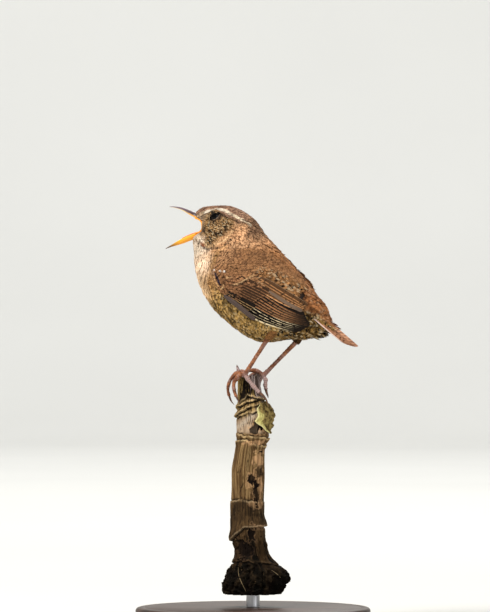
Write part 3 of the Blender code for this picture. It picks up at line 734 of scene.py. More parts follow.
def markings(u, phi, chance):
    """The looks of the coat at sections u and angles phi, for feathers and skin, with each one's chance."""
    phi = (phi + math.pi) % math.tau - math.pi
    degrees = np.degrees(np.abs(phi))
    here = straight_body(u, phi)
    on_face = smooth(4.2, 3.4, u)
    mottle = layered_noise(here * (1.0, 1.0, 0.8), 211, 2)
    broad = layered_noise(here * 0.3, 97, 3)
    wander = layered_noise(here * 0.5, 307, 2)
    tint, ink = (np.tile(shade(*plain), (*u.shape, 1)) for plain in ((176, 130, 88), (110, 76, 48)))
    numbers = np.tile((0.2, 1.6, 0.3, 0.0), (*u.shape, 1))
    around = degrees + wander * 8
    for u_range, around_range, soft, light, dark, own in REGIONS:
        share = region_share(u, around, u_range, around_range, soft)
        tint, ink = painted(tint, (shade(*light), share)), painted(ink, (shade(*dark), share))
        numbers = painted(numbers, (np.asarray(own), share))
    patch = smooth(0.05, 0.45, mottle + (chance - 0.5) * blend(0.45, 0.9, on_face))
    tint = painted(tint, (ink, patch * numbers[..., 2] * 0.75))
    calm = np.maximum(on_face, smooth(6.0, 7.5, u) * smooth(70, 100, degrees))
    tint = tint * (1 + (0.3 - 0.18 * calm) * broad)[..., None]
    if u.min() < 5.0:
        breaks = smooth(-0.45, 0.15, mottle + chance * 0.8 - 0.4)
        mirrored = here * (1, 0, 1) + np.abs(here[..., 1:2]) * (0, 1, 0)
        outline = lambda at: straight_body(at[:, 0], np.radians(at[:, 1]))
        tint, covered = drawn_lines(tint, mirrored, HEAD_LINES, outline, wander, breaks)
        numbers = painted(numbers, (np.array((-0.3, 1.2, 0.3, 0.0)), covered))
    duty, period, _, pale = np.moveaxis(numbers, -1, 0)
    bars = stacked(period, duty, chance + wander * 0.4)
    spot = pale * smooth(0.35, 0.65, (chance * 3.7) % 1.0)
    tip = stacked(spot, np.clip(duty, 0, 1) * 0.12, chance)
    return {"tint": tint, "ink": ink, "bars": bars, "tip": tip}


def wing_reach(here):
    """How far places lie from either wing's outer face, and the nearest chart place on it."""
    s, t = (g.ravel() for g in np.meshgrid(np.linspace(0, 1, 41), np.linspace(-1, 0, 25), indexing="ij"))
    wing = wing_face(s, t)
    point = here * (1, 0, 1) + np.abs(here[:, 1:2]) * (0, 1, 0)
    away = np.linalg.norm(point[:, None] - wing[None], axis=-1)
    nearest = away.argmin(1)
    return away.min(1), s[nearest], t[nearest]


def eye_place(straight):
    """How far places of the straight head lie along and across the eye's opening from its middle."""
    dx, dz = straight[..., 0] - EYE[0], straight[..., 2] - EYE[2]
    along = dx * math.cos(EYE_TILT) + dz * math.sin(EYE_TILT)
    return along, dz * math.cos(EYE_TILT) - dx * math.sin(EYE_TILT)


def in_gape(points):
    """True for places of the straight head inside the open gape or just outside it."""
    x, z = points[..., 0], points[..., 2]
    above = GAPE_TOP[1] + (GAPE_TOP[0] - x) * 0.61 + GAPE_CLEAR
    below = GAPE_BOTTOM[1] - (GAPE_BOTTOM[0] - x) * 0.7 - GAPE_CLEAR
    return (x < -19.3 + GAPE_CLEAR) & (z < above) & (z > below)


def bare_of_coat(u, phi, here):
    """True where no contour feather grows: gape, eye, under the wings and round the tail's root."""
    straight = straight_body(u, phi)
    along, across = eye_place(straight)
    away, s, t = wing_reach(here)
    under_wing = (away < 3.5) & (s > 0.07) & (s < 0.9) & (t > -0.93) & (t < -0.07) & (u > 4.5)
    open_eye = (along / 2.75) ** 2 + (across / 1.0) ** 2 < 1
    tail_root = (u > 9.6) & ((np.abs(phi) < 0.9) | (np.abs(phi) > 1.7))
    under_bill = (u < -0.1) & (np.abs(phi) > 1.2)
    return in_gape(straight) | open_eye | under_wing | tail_root | under_bill


def body_coat(material):
    """The contour feathers of head, neck, trunk and rump, in pieces from front to back."""
    pieces = (
        ("feathers_face", (-0.6, 2.3), TUFT, 60000),
        ("feathers_head", (2.3, 3.7), TUFT, 40000),
        ("feathers_neck", (3.7, 5.2), CONTOUR, 16000),
        ("feathers_breast_and_back", (5.2, 7.3), CONTOUR, 22000),
        ("feathers_belly_and_rump", (7.3, 10.2), CONTOUR, 22000),
    )
    keep = lambda u, phi, here: ~bare_of_coat(u, phi, here)
    spacing = lambda u, phi: table(COAT_ROWS, u)[2]
    for n, (name, u_range, vane, tries) in enumerate(pieces):
        rng = np.random.default_rng(20 + n)
        u, phi, here = scatter(coat, u_range, (-math.pi, math.pi), spacing, keep, rng, tries)
        length, half_width, _, depth = table(COAT_ROWS, u)
        from_back, count = np.abs(phi), len(u)
        along, across = eye_place(straight_body(u, phi))
        outside = np.hypot(along / 2.3, across / 1.15) - 1
        ahead = smooth(0.1, 0.7, -along / np.maximum(np.hypot(along, across), 0.1))
        length = length * rng.uniform(0.85, 1.2, count)
        length = blend(length, np.minimum(length, 0.35 + outside * 1.5), ahead)
        half_width = half_width * rng.uniform(0.85, 1.15, count) * np.clip(length / 1.0, 0.6, 1)
        away, s, t = wing_reach(here)
        over_wing = smooth(3.0, 0.8, away) * (u > 4.5) * np.where(t > -0.2, 0.12, 0.7 * (s < 0.14))
        brow = 0.25 * smooth(1.3, -0.7, u) * smooth(1.35, 0.7, from_back)
        length = length * (1 - 0.45 * smooth(8.6, 9.6, u) * (from_back < 1.3))
        fluff = smooth(8.3, 9.0, u) * smooth(1.6, 2.3, from_back)
        turn = rng.normal(0, 0.16, count) + fluff * rng.normal(0, 0.3, count)
        settled = -0.4 * smooth(8.8, 9.4, u) * (from_back < 1.2)
        by_eye = smooth(0.55, 0.15, outside) * (u < 4)
        low = blend(-depth - 0.05 + over_wing + brow, -0.12, by_eye)
        high = rng.uniform(-0.16, 0.1, count) * depth + over_wing + brow
        high = blend(high + fluff * rng.uniform(0.2, 1.9, count) + settled, 0.1, by_eye)
        path = trails(coat, u, phi, turn, length, vane.stations)
        uv = tuft_map(0.05 + 0.9 * (phi / math.tau + 0.5), 0.05 + 0.08 * u)
        chance = rng.uniform(0, 1, count)[:, None]
        looks = lambda a, b: markings(a, b, np.broadcast_to(chance, a.shape))
        flock(name, coat, vane, path, length, half_width, low, high, looks, uv, material, "plumage",
              ruffle=0.07, seed=120 + n)


def quill_looks(count, rng, light, dark, period, duty, spot=0.0, edge=0.3, web_and_shadow=None):
    """The looks of a row of quills that share their colours, and how dark their inner sides are: partly their
    own dark web, partly painted shadow of the quill above.
    """
    ones = np.ones(count)
    bars = stacked(ones * period, ones * duty, rng.uniform(0, 1, count))
    last = rng.uniform(0.3, 0.7, count)
    tip = stacked(ones * spot, ones * edge, last if web_and_shadow is None else ones * web_and_shadow)
    return {"tint": np.tile(shade(*light), (count, 1)), "ink": np.tile(shade(*dark), (count, 1)),
            "bars": bars, "tip": tip}


# Rows of the folded wing from below up: name and count; first and last root and first and last tip, as places
# along the wing and below its upper edge; half width, bow and range of lifts; light and dark colours; the
# bars' period and share, pale (below 0, dark) tips, dark rims (below 0, pale fringes) and how dark the inner
# sides are, partly the quill's own dark web and partly painted shadow of the quill above
WING_TRACTS = (
    ("primaries", 6, ((0.3, -0.985), (0.44, -0.64), (0.93, -0.975), (1.045, -0.75)),
     1.6, 0.0, (-1.15, -0.8), ((252, 228, 182), (14, 10, 7), 2.7, 0.45, -1.0, 0.0, 1.0)),
    ("secondaries", 6, ((0.28, -0.74), (0.44, -0.47), (1.045, -0.73), (1.0, -0.52)),
     1.22, 0.0, (-0.72, -0.15), ((132, 88, 54), (20, 13, 9), 2.0, 0.24, -0.9, -0.35, 1.0)),
    ("tertials", 5, ((0.44, -0.47), (0.5, -0.31), (0.975, -0.43), (1.0, -0.28)),
     0.98, 0.0, (-0.05, 0.26), ((178, 124, 78), (24, 16, 10), 1.9, 0.3, -0.2, -0.5, 0.8)),
    ("greater_coverts", 10, ((0.18, -0.88), (0.3, -0.44), (0.45, -0.82), (0.62, -0.42)),
     0.92, 0.0, (-0.35, 0.05), ((140, 96, 62), (34, 23, 15), 2.0, 0.26, 0.0, -0.2, 0.9)),
    ("primary_coverts", 4, ((0.22, -0.94), (0.24, -0.82), (0.45, -0.93), (0.52, -0.78)),
     0.85, 0.0, (0.02, 0.14), ((196, 156, 104), (20, 14, 9), 1.7, 0.52, -0.4, 0.4, 1.0)),
    ("alula", 1, ((0.19, -0.975), (0.19, -0.975), (0.53, -1.005), (0.53, -1.005)),
     1.0, 0.035, (0.3, 0.3), ((90, 76, 70), (58, 48, 46), 4.0, -0.3, 0.0, 0.3, 0.0)),
    ("grey_tertial", 1, ((0.6, -0.425), (0.6, -0.425), (0.965, -0.465), (0.965, -0.465)),
     0.72, 0.01, (0.22, 0.22), ((120, 98, 80), (84, 70, 60), 4.0, -0.3, 0.0, 0.6, 0.0)),
)


def wing_quills(material):
    """The long feathers of both folded wings, and the coverts and alula over their roots."""
    rng = np.random.default_rng(41)
    nodes = {"primaries": "primaries", "secondaries": "secondaries", "greater_coverts": "coverts"}
    for name, count, ends, half, bow, lifts, colours in WING_TRACTS:
        roots, tips = np.linspace(*ends[:2], count), np.linspace(*ends[2:], count)
        path, length = routes(wing_face, roots, tips, np.full(count, bow), QUILL.stations)
        half_width, layer = np.full(count, half), np.linspace(*lifts, count)
        looks = quill_looks(count, rng, *colours)
        looks["tint"] = looks["tint"] * rng.uniform(0.75, 1.2, (count, 1))
        for word, mirrored in WINGS:
            replaced = [f"wing_{word}_{nodes[name]}"] if name in nodes else ()
            flock(f"{name}_{word}", wing_face, QUILL, path, length, half_width, layer - 0.12, layer, looks,
                  strip_map(count), material, "flight_feathers", replaced, mirrored, camber=0.1)


# Lines and dots on the wing's small coverts: places, half width in mm, colour and how broken each is
WING_LINES = (
    (((0.07, -0.42), (0.071, -0.42)), 0.3, (240, 238, 232), 0.0),
    (((0.142, -0.435), (0.143, -0.435)), 0.4, (244, 242, 236), 0.0),
    (((0.19, -0.43), (0.191, -0.43)), 0.4, (244, 242, 236), 0.0),
    (((0.095, -0.52), (0.12, -0.64), (0.15, -0.76)), 0.48, (44, 40, 54), 0.0),
    (((0.06, -0.58), (0.095, -0.74), (0.135, -0.86)), 0.3, (206, 160, 106), 0.3),
    (((0.15, -0.86), (0.185, -0.8), (0.195, -0.72)), 0.26, (190, 156, 112), 0.3),
    (((0.29, -0.635), (0.345, -0.55), (0.39, -0.445), (0.445, -0.315)), 0.3, (204, 166, 120), 0.4),
    (((0.26, -0.67), (0.33, -0.61), (0.38, -0.5), (0.435, -0.37)), 0.34, (60, 41, 30), 0.3),
    (((0.2, -0.62), (0.25, -0.58), (0.3, -0.5)), 0.26, (70, 48, 34), 0.4),
    (((0.21, -0.56), (0.27, -0.5)), 0.26, (196, 156, 112), 0.5),
)


def wing_markings(s, t, chance):
    """The looks of the wing's small coverts and of the scapulars over its upper edge."""
    here = wing_face(s, t)
    mottle = layered_noise(here * 0.8, 401, 2)
    broad = layered_noise(here * 0.25, 431, 3)
    wander = layered_noise(here * 0.5, 307, 2)
    rear = smooth(0.36, 0.56, s) * smooth(-0.5, -0.3, t) * smooth(0.08, -0.04, t + 0.19 - (s - 0.47) * 0.36)
    front = smooth(0.14, 0.02, s) * smooth(-0.25, -0.45, t)
    lower = smooth(0.1, 0.3, s) * smooth(-0.3, -0.55, t)
    upper = smooth(0.34, 0.1, s) * smooth(-0.42, -0.15, t)
    tint = painted(
        np.broadcast_to(shade(156, 111, 73), (*s.shape, 3)),
        (shade(176, 124, 76), rear),
        (shade(136, 95, 64), lower * 0.8),
        (shade(190, 143, 102), upper * 0.8),
        (shade(126, 106, 94), front * 0.6),
    )
    ink = between((100, 68, 46), (24, 16, 10), rear[..., None])
    patch = smooth(0.1, 0.5, mottle + (chance - 0.5) * 0.35)
    tint = painted(tint, (ink, patch * (0.6 - 0.25 * rear))) * (1 + 0.28 * broad)[..., None]
    outline = lambda at: wing_face(at[:, 0], at[:, 1])
    tint, covered = drawn_lines(tint, here, WING_LINES, outline, wander, smooth(-0.3, 0.3, mottle))
    duty, period = blend(blend(0.2, 0.58, rear), -0.3, covered), blend(1.6, 1.8, rear)
    bars = stacked(period, duty, chance * 1.7 + wander * 0.3)
    spot = 0.5 * rear * smooth(0.45, 0.75, (chance * 5.3) % 1.0)
    tip = stacked(spot, np.clip(duty, 0, 1) * 0.5, chance)
    return {"tint": tint, "ink": ink, "bars": bars, "tip": tip}


def wing_coverts(material):
    """Small coverts over the wing's front, and scapulars over its upper edge."""
    before_quills = lambda s, t, here: s < 0.3 + 0.2 * smooth(-0.6, -0.35, t)
    tracts = (
        ("lesser_coverts", (0.03, 0.5), (-0.98, 0.02), before_quills,
         0.66, (3.6, 0.7), (-0.7, 0.16), (0.0, 0.3)),
        ("scapulars", (0.12, 0.74), (-0.25, -0.02), everywhere,
         0.84, (5.4, 1.3), (-0.55, 0.12), (0.02, 0.22)),
    )
    for n, (name, along, down, keep, room, (long, half), (low, high), turn) in enumerate(tracts):
        rng = np.random.default_rng(60 + n)
        spacing = lambda s, t: np.full(len(s), room)
        s, t, _ = scatter(wing_face, along, down, spacing, keep, rng, 6000)
        count = len(s)
        length = long * rng.uniform(0.85, 1.2, count) * blend(0.75, 1.2, smooth(0, 0.4, s))
        half_width = half * rng.uniform(0.85, 1.1, count)
        path = trails(wing_face, s, t, rng.uniform(*turn, count), length, CONTOUR.stations)
        level = rng.uniform(-0.12, 0.06, count)
        chance = rng.uniform(0, 1, count)[:, None]
        looks = lambda a, b: wing_markings(a, b, np.broadcast_to(chance, a.shape))
        uv = tuft_map(0.05 + 0.8 * s, 0.95 + 0.8 * t)
        for word, mirrored in WINGS:
            flock(f"{name}_{word}", wing_face, CONTOUR, path, length, half_width, level + low, level + high,
                  looks, uv, material, "plumage", (), mirrored, seed=70 + n, ruffle=0.07)


def wing_beds(material):
    """The dark body of each folded wing, under its feathers."""
    (front, rear), (bottom, top), rows, columns = (0.03, 0.93), (-0.94, -0.02), 40, 24
    s, t = np.meshgrid(np.linspace(front, rear, rows), np.linspace(bottom, top, columns), indexing="ij")
    edge = np.minimum(smooth(0, 0.08, s - front), smooth(0, 0.08, rear - s))
    edge = edge * np.minimum(smooth(0, 0.08, t - bottom), smooth(0, 0.08, top - t))
    outer, inner = wing_face(s, t, -1.5 + 0.35 * edge), wing_face(s, t, -1.5 - 0.25 * edge - 0.02)
    points = np.concatenate([outer.reshape(-1, 3), inner.reshape(-1, 3)])
    faces = grid_faces(rows, columns)
    both = np.concatenate([faces, faces[:, ::-1] + rows * columns])
    for word, mirrored in WINGS:
        own, turned_faces = (points * (1, -1, 1), both[:, ::-1]) if mirrored else (points, both)
        add_piece(f"wing_bed_{word}", own, [turned_faces], material, "flight_feathers")


def tail_face(a, b, lift=0.0):
    """The tail's upper face: a is millimetres from its root, b millimetres towards its right."""
    a, b = np.broadcast_arrays(np.asarray(a, float), np.asarray(b, float))
    along = unit(TAIL_TIP - TAIL_ROOT)
    upright = np.array((-along[2], 0.0, along[0]))
    level = np.array((0.0, 1.0, 0.0))
    across = level * math.cos(TAIL_ROLL) + upright * math.sin(TAIL_ROLL)
    upright = upright * math.cos(TAIL_ROLL) - level * math.sin(TAIL_ROLL)
    height = np.asarray(lift, float) - TAIL_CAMBER * (b / 5.5) ** 2
    return TAIL_ROOT + a[..., None] * along + b[..., None] * across + height[..., None] * upright


def tail_feathers(material):
    """Twelve closed tail feathers, the middle pair on top and the pale-edged outer pair lowest."""
    rng = np.random.default_rng(81)
    rank = np.repeat(np.arange(6), 2)
    side = np.tile((-1.0, 1.0), 6)
    root = stacked(np.full(12, 2.5), side * (0.4 + 0.4 * rank))
    reach = 28.8 - 0.25 * rank - 0.1 * rank**2
    tip = stacked(reach, side * (0.5 + 0.42 * rank))
    path, length = routes(tail_face, root, tip, side * 0.5, QUILL.stations)
    layer = 0.5 - 0.22 * rank + 0.04 * side
    looks = quill_looks(12, rng, (196, 140, 104), (92, 58, 40), 1.8, 0.34)
    looks["tint"] = blend(looks["tint"], shade(250, 222, 206), (rank == 5)[:, None] * 0.95)
    looks["bars"][:, 1] = np.where(rank == 5, -0.1, looks["bars"][:, 1])
    flock("tail_feathers", tail_face, QUILL, path, length, np.full(12, 1.75), layer - 0.1, layer, looks,
          strip_map(12), material, "flight_feathers", ("tail",), camber=0.08)


# Legs and feet, in millimetres: left then right
THIGH_TOPS = ((12.0, -8.0, 116.4), (17.0, 6.4, 114.6))
ANKLES = ((7.9, -7.0, 109.2), (15.6, 6.0, 107.6))
FEET = ((-2.1, -4.4, 95.0), (3.2, 3.2, 94.6))
LEFT_TOES = (
    ((-0.6, -5.4, 93.4), (1.9, -5.8, 90.5), (4.1, -5.8, 88.3),
     (5.7, -5.6, 86.9), (6.9, -5.3, 85.0), (7.5, -5.0, 82.8)),
    ((-3.4, -2.5, 96.2), (-6.2, -1.3, 94.9), (-7.5, -0.6, 91.6),
     (-7.2, -0.3, 89.0), (-6.7, -0.1, 87.5), (-6.5, 0.1, 85.9)),
    ((-4.6, -4.4, 95.9), (-7.7, -3.7, 93.4), (-9.1, -3.1, 89.9),
     (-8.8, -2.6, 86.9), (-8.0, -2.3, 84.9), (-6.9, -2.0, 83.4)),
    ((-3.9, -5.3, 94.8), (-6.0, -5.3, 92.0), (-6.1, -5.4, 89.0),
     (-5.2, -5.4, 86.7), (-4.3, -5.6, 85.2), (-3.3, -5.9, 84.0)),
)
RIGHT_TOES = (
    ((4.2, 2.9, 93.0), (4.2, 2.6, 91.0), (4.5, 2.3, 89.4),
     (4.9, 2.0, 88.0), (5.4, 1.8, 86.9), (5.6, 1.6, 86.0)),
    ((1.4, 2.0, 96.3), (-2.0, 1.7, 96.5), (-4.9, 2.0, 95.0),
     (-6.1, 2.3, 92.6), (-6.3, 2.4, 90.9), (-6.0, 2.4, 89.3)),
    ((1.2, 4.0, 95.6), (-2.2, 5.0, 94.6), (-4.8, 5.2, 92.0),
     (-5.6, 5.0, 89.4), (-5.5, 4.8, 87.7), (-4.9, 4.6, 86.3)),
    ((2.0, 5.1, 94.4), (1.0, 6.3, 92.2), (0.4, 6.5, 89.8),
     (0.2, 6.3, 87.7), (0.2, 6.2, 86.2), (0.3, 6.0, 84.9)),
)
CLAW_POINTS = (3, 2, 2, 2)
SIDES = tuple(zip(("left", "right"), THIGH_TOPS, ANKLES, FEET, (LEFT_TOES, RIGHT_TOES)))
SHANK_RADII = (0.95, 0.85, 0.78, 0.75, 0.8, 0.95)
HIND_TOE_RADII, TOE_RADII = (0.85, 0.8, 0.78, 0.7), (0.85, 0.8, 0.62, 0.56)
THIGH_RADII = (2.6, 2.2, 1.5, 1.0)
CLAW_RADII = (0.5, 0.42, 0.26, 0.06)


def tube(path, radii, steps, sides, flat=1.0, swell=None):
    """Rings of points round a smooth path: (rings, sides, 3), with the path's middle line."""
    path, radii = np.asarray(path, float), np.asarray(radii, float)
    at = np.linspace(0, len(path) - 1, steps)
    middle = along_rows(path, at)
    radius = along_rows(radii[:, None], at * (len(radii) - 1) / (len(path) - 1))[:, 0]
    if swell is not None:
        radius = radius * swell(np.linspace(0, 1, steps))
    along = unit(np.gradient(middle, axis=0))
    side = np.tile((0.0, 1.0, 0.0), (steps, 1))
    side = unit(side - along * (side * along).sum(-1, keepdims=True))
    up = np.cross(side, along)
    angle = circle(sides)
    ring = side[:, None] * np.cos(angle)[None, :, None] + up[:, None] * np.sin(angle)[None, :, None] * flat
    return middle[:, None] + ring * radius[:, None, None], middle


def capped(rings, first, last):
    """Points and faces of a closed tube from its rings and both end points."""
    count, sides = rings.shape[:2]
    points = np.concatenate([rings.reshape(-1, 3), [first], [last]])
    k = np.arange(sides)
    after = (k + 1) % sides
    end = (count - 1) * sides
    caps = np.concatenate([
        stacked(after, k, np.full(sides, count * sides)),
        stacked(end + k, end + after, np.full(sides, count * sides + 1)),
    ])
    return points, [grid_faces(count, sides, closed=True)[:, ::-1], caps[:, ::-1]]


def closed_tube(path, radii, steps, sides, flat=1.0, swell=None):
    rings, middle = tube(path, radii, steps, sides, flat, swell)
    radius = np.asarray(radii, float)
    first = middle[0] - unit(middle[1] - middle[0]) * radius[0] * 0.5
    last = middle[-1] + unit(middle[-1] - middle[-2]) * radius[-1] * 0.6
    return capped(rings, first, last)


def joined(parts):
    """One array of points and one list of faces from several."""
    points, faces, count = [], [], 0
    for own, own_faces in parts:
        points.append(own)
        faces += [face + count for face in own_faces]
        count += len(own)
    return np.concatenate(points), faces


def raw_mesh(name, points, faces):
    """A mesh object without materials, from points in millimetres, for modifiers to work on."""
    mesh = bpy.data.meshes.new(name)
    corners = [corner for part in faces for corner in part.tolist()]
    mesh.from_pydata((np.asarray(points) * MM).tolist(), [], corners)
    bm = bmesh.new()
    bm.from_mesh(mesh)
    bmesh.ops.recalc_face_normals(bm, faces=bm.faces)
    bm.to_mesh(mesh)
    bm.free()
    return linked(name, mesh)


def apply_modifiers(piece):
    """Fixes the piece's modifiers into its mesh."""
    bpy.context.view_layer.update()
    evaluated = piece.evaluated_get(bpy.context.evaluated_depsgraph_get())
    mesh = bpy.data.meshes.new_from_object(evaluated)
    piece.modifiers.clear()
    piece.data = mesh


def boolean(piece, other, operation):
    """Cuts the other object out of the piece, or joins it on, and removes it."""
    cut = piece.modifiers.new("cut", "BOOLEAN")
    cut.operation, cut.object = operation, other
    apply_modifiers(piece)
    bpy.data.objects.remove(other)


def foot_lines(ankle, foot, toes):
    """The centre lines of a leg: its shank and then each toe without its claw, starting in the foot."""
    ankle, foot = np.asarray(ankle), np.asarray(foot)
    lines = [np.array((ankle, blend(ankle, foot, 0.5), foot))]
    for path, claw in zip(toes, CLAW_POINTS):
        lines.append(np.array((foot, *path[:len(path) - claw])))
    return lines


def leg_mesh(word, top, ankle, foot, toes):
    """Shank, toes and thigh grown together, with overlapping scales along shank and toes."""
    lines = foot_lines(ankle, foot, toes)
    thigh = np.array((top, blend(np.array(top), np.array(ankle), 0.5), ankle))
    knuckles = lambda x: 1 + 0.13 * np.cos(x * 6 * math.pi)
    radii = (HIND_TOE_RADII, TOE_RADII, TOE_RADII, TOE_RADII)
    shank_tube = closed_tube(lines[0], SHANK_RADII, 40, 16)
    toe_tubes = [closed_tube(line, radius, 40, 16, swell=knuckles) for line, radius in zip(lines[1:], radii)]
    thigh_tube = closed_tube(thigh, THIGH_RADII, 20, 20)
    leg = raw_mesh(f"leg_{word}", *joined([shank_tube, *toe_tubes, thigh_tube]))
    remesh = leg.modifiers.new("grow", "REMESH")
    remesh.mode, remesh.voxel_size = "VOXEL", 0.13 * MM
    smoothing = leg.modifiers.new("ease", "SMOOTH")
    smoothing.factor, smoothing.iterations = 0.5, 4
    apply_modifiers(leg)
    scale_leg(leg, lines)
    return leg


def leg_scales(points, lines):
    """For places near a leg, how far along its own scale each lies, and the millimetres along its line."""
    best = np.full(len(points), 1e9)
    phase, travelled_to = np.zeros(len(points)), np.zeros(len(points))
    for n, line in enumerate(lines):
        middle = along_rows(line, np.linspace(0, len(line) - 1, 100))
        travelled = np.concatenate([[0], np.cumsum(np.linalg.norm(np.diff(middle, axis=0), axis=1))])
        along = unit(np.gradient(middle, axis=0))
        for start in range(0, len(points), 20000):
            own = points[start:start + 20000]
            away = np.linalg.norm(own[:, None] - middle[None], axis=-1)
            nearest = away.argmin(1)
            place = travelled[nearest] + ((own - middle[nearest]) * along[nearest]).sum(-1)
            mine = away.min(1) < best[start:start + 20000]
            chosen = np.flatnonzero(mine) + start
            best[chosen] = away.min(1)[mine]
            pitch = 1.35 if n == 0 else 0.78
            phase[chosen] = (place[mine] / pitch) % 1.0
            travelled_to[chosen] = place[mine]
    return phase, travelled_to


def scale_leg(leg, lines):
    """Raises the overlapping scales: each one ends in a small step towards the claws."""
    size = len(leg.data.vertices)
    co, normal = np.empty(size * 3), np.empty(size * 3)
    leg.data.vertices.foreach_get("co", co)
    leg.data.vertex_normals.foreach_get("vector", normal)
    co, normal = co.reshape(-1, 3) / MM, normal.reshape(-1, 3)
    phase, travelled = leg_scales(co, lines)
    front = np.clip(normal @ np.array((-0.7, -0.2, 0.66)), 0, 1)
    step = phase**2 * 0.11 * (0.35 + 0.65 * front)
    step = np.where(travelled < 0.6, 0, step) + 0.04 * layered_noise(co * 1.4, 55, 2)
    leg.data.vertices.foreach_set("co", ((co + normal * step[:, None]) * MM).ravel())


def claws(material):
    """The four claws of each foot as one piece, each grown out of its toe's end."""
    for word, _, _, _, toes in SIDES:
        tubes = []
        for digit, (path, claw) in enumerate(zip(toes, CLAW_POINTS)):
            thicker = 1.25 if digit == 0 else 1.0
            root = np.asarray(path[-claw - 1])
            first = root + (np.asarray(path[-claw]) - root) * 0.12
            tubes.append(closed_tube((first, *path[-claw:]), np.array(CLAW_RADII) * thicker, 26, 14, 0.85))
        replaced = [f"claw_{word}_{digit}" for digit in DIGITS]
        add_piece(f"claws_{word}", *joined(tubes), material, "claws", replaced=replaced)


def thigh_coat(material):
    """Short feathers round each thigh, down to the bare shank."""
    for n, (word, top, ankle, foot, _) in enumerate(SIDES):
        top, ankle = np.asarray(top), np.asarray(ankle)
        line = np.array((top, blend(top, ankle, 0.5), ankle, ankle + (np.asarray(foot) - ankle) * 0.05))

        def thigh(a, b, lift=0.0):
            a, b = np.broadcast_arrays(np.asarray(a, float), np.asarray(b, float))
            middle = along_rows(line, a)
            along = unit(along_rows(line, a + 0.05) - along_rows(line, a - 0.05))
            side = unit(np.array((0.0, 1.0, 0.0)) - along * along[..., 1:2])
            up = np.cross(along, side)
            reach = np.interp(a, (0, 1, 2, 3), (3.3, 2.8, 1.55, 0.95)) + lift
            ring = side * np.cos(b)[..., None] + up * np.sin(b)[..., None]
            return middle + ring * reach[..., None]

        rng = np.random.default_rng(90 + n)
        room = lambda a, b: np.full(len(a), 0.62)
        a, b, _ = scatter(thigh, (0.0, 1.95), (0.0, math.tau), room, everywhere, rng, 4000)
        count = len(a)
        length = rng.uniform(2.0, 3.0, count) * np.interp(a, (0, 1.2, 2.0), (1.2, 0.8, 0.4))
        # The right thigh, on the far side, gets darker colours: painted shade
        light, dark = ((150, 104, 60), (60, 40, 24)) if word == "left" else ((84, 58, 32), (24, 16, 10))
        looks = quill_looks(count, rng, light, dark, 1.6, 0.25, edge=0.1)
        path = trails(thigh, a, b, rng.normal(0, 0.12, count), length, CONTOUR.stations)
        half_width, low, high = np.full(count, 0.55), np.full(count, -0.6), rng.uniform(-0.1, 0.1, count)
        uv = tuft_map(0.05 + 0.14 * b, 0.05 + 0.3 * a)
        flock(f"feathers_thigh_{word}", thigh, CONTOUR, path, length, half_width, low, high, looks, uv,
              material, "plumage", ruffle=0.07, seed=190 + n)


def skin(finish, lining):
    """One skin under the whole coat: the body with its open mouth, both legs and their toes."""
    u = np.concatenate([np.linspace(0.0, 4.0, 60), np.linspace(4.0, 10.4, 70)[1:]])
    phi = circle(96)
    uu, pp = np.meshgrid(u, phi, indexing="ij")
    depth = table(COAT_ROWS, uu)[3]
    rings = np.where((uu > 7.0)[..., None], coat(uu, pp, -depth), body(uu, pp, -depth))
    first, last = rings[0].mean(0), rings[-1].mean(0)
    points, faces = capped(rings, first + (first - rings[1].mean(0)) * 0.5, last)
    whole = raw_mesh("skin", points, faces)
    cutters = gape_cutter(), throat_cutter()
    for mesh in (whole.data, *(cutter.data for cutter in cutters)):
        mesh.materials.append(finish)
        mesh.materials.append(lining)
    for cutter in cutters:
        for face in cutter.data.polygons:
            face.material_index = 1
        boolean(whole, cutter, "DIFFERENCE")
    for side in SIDES:
        leg = leg_mesh(*side)
        leg.data.materials.append(finish)
        boolean(whole, leg, "UNION")
    whole.data.shade_smooth()
    colour_skin(whole.data)
    flesh = ["head", "neck", "trunk", "rump", "thigh_left", "thigh_right", "shank_left", "shank_right"]
    flesh += [f"toe_{word}_{digit}" for word in ("left", "right") for digit in DIGITS]
    settle(whole, flesh)


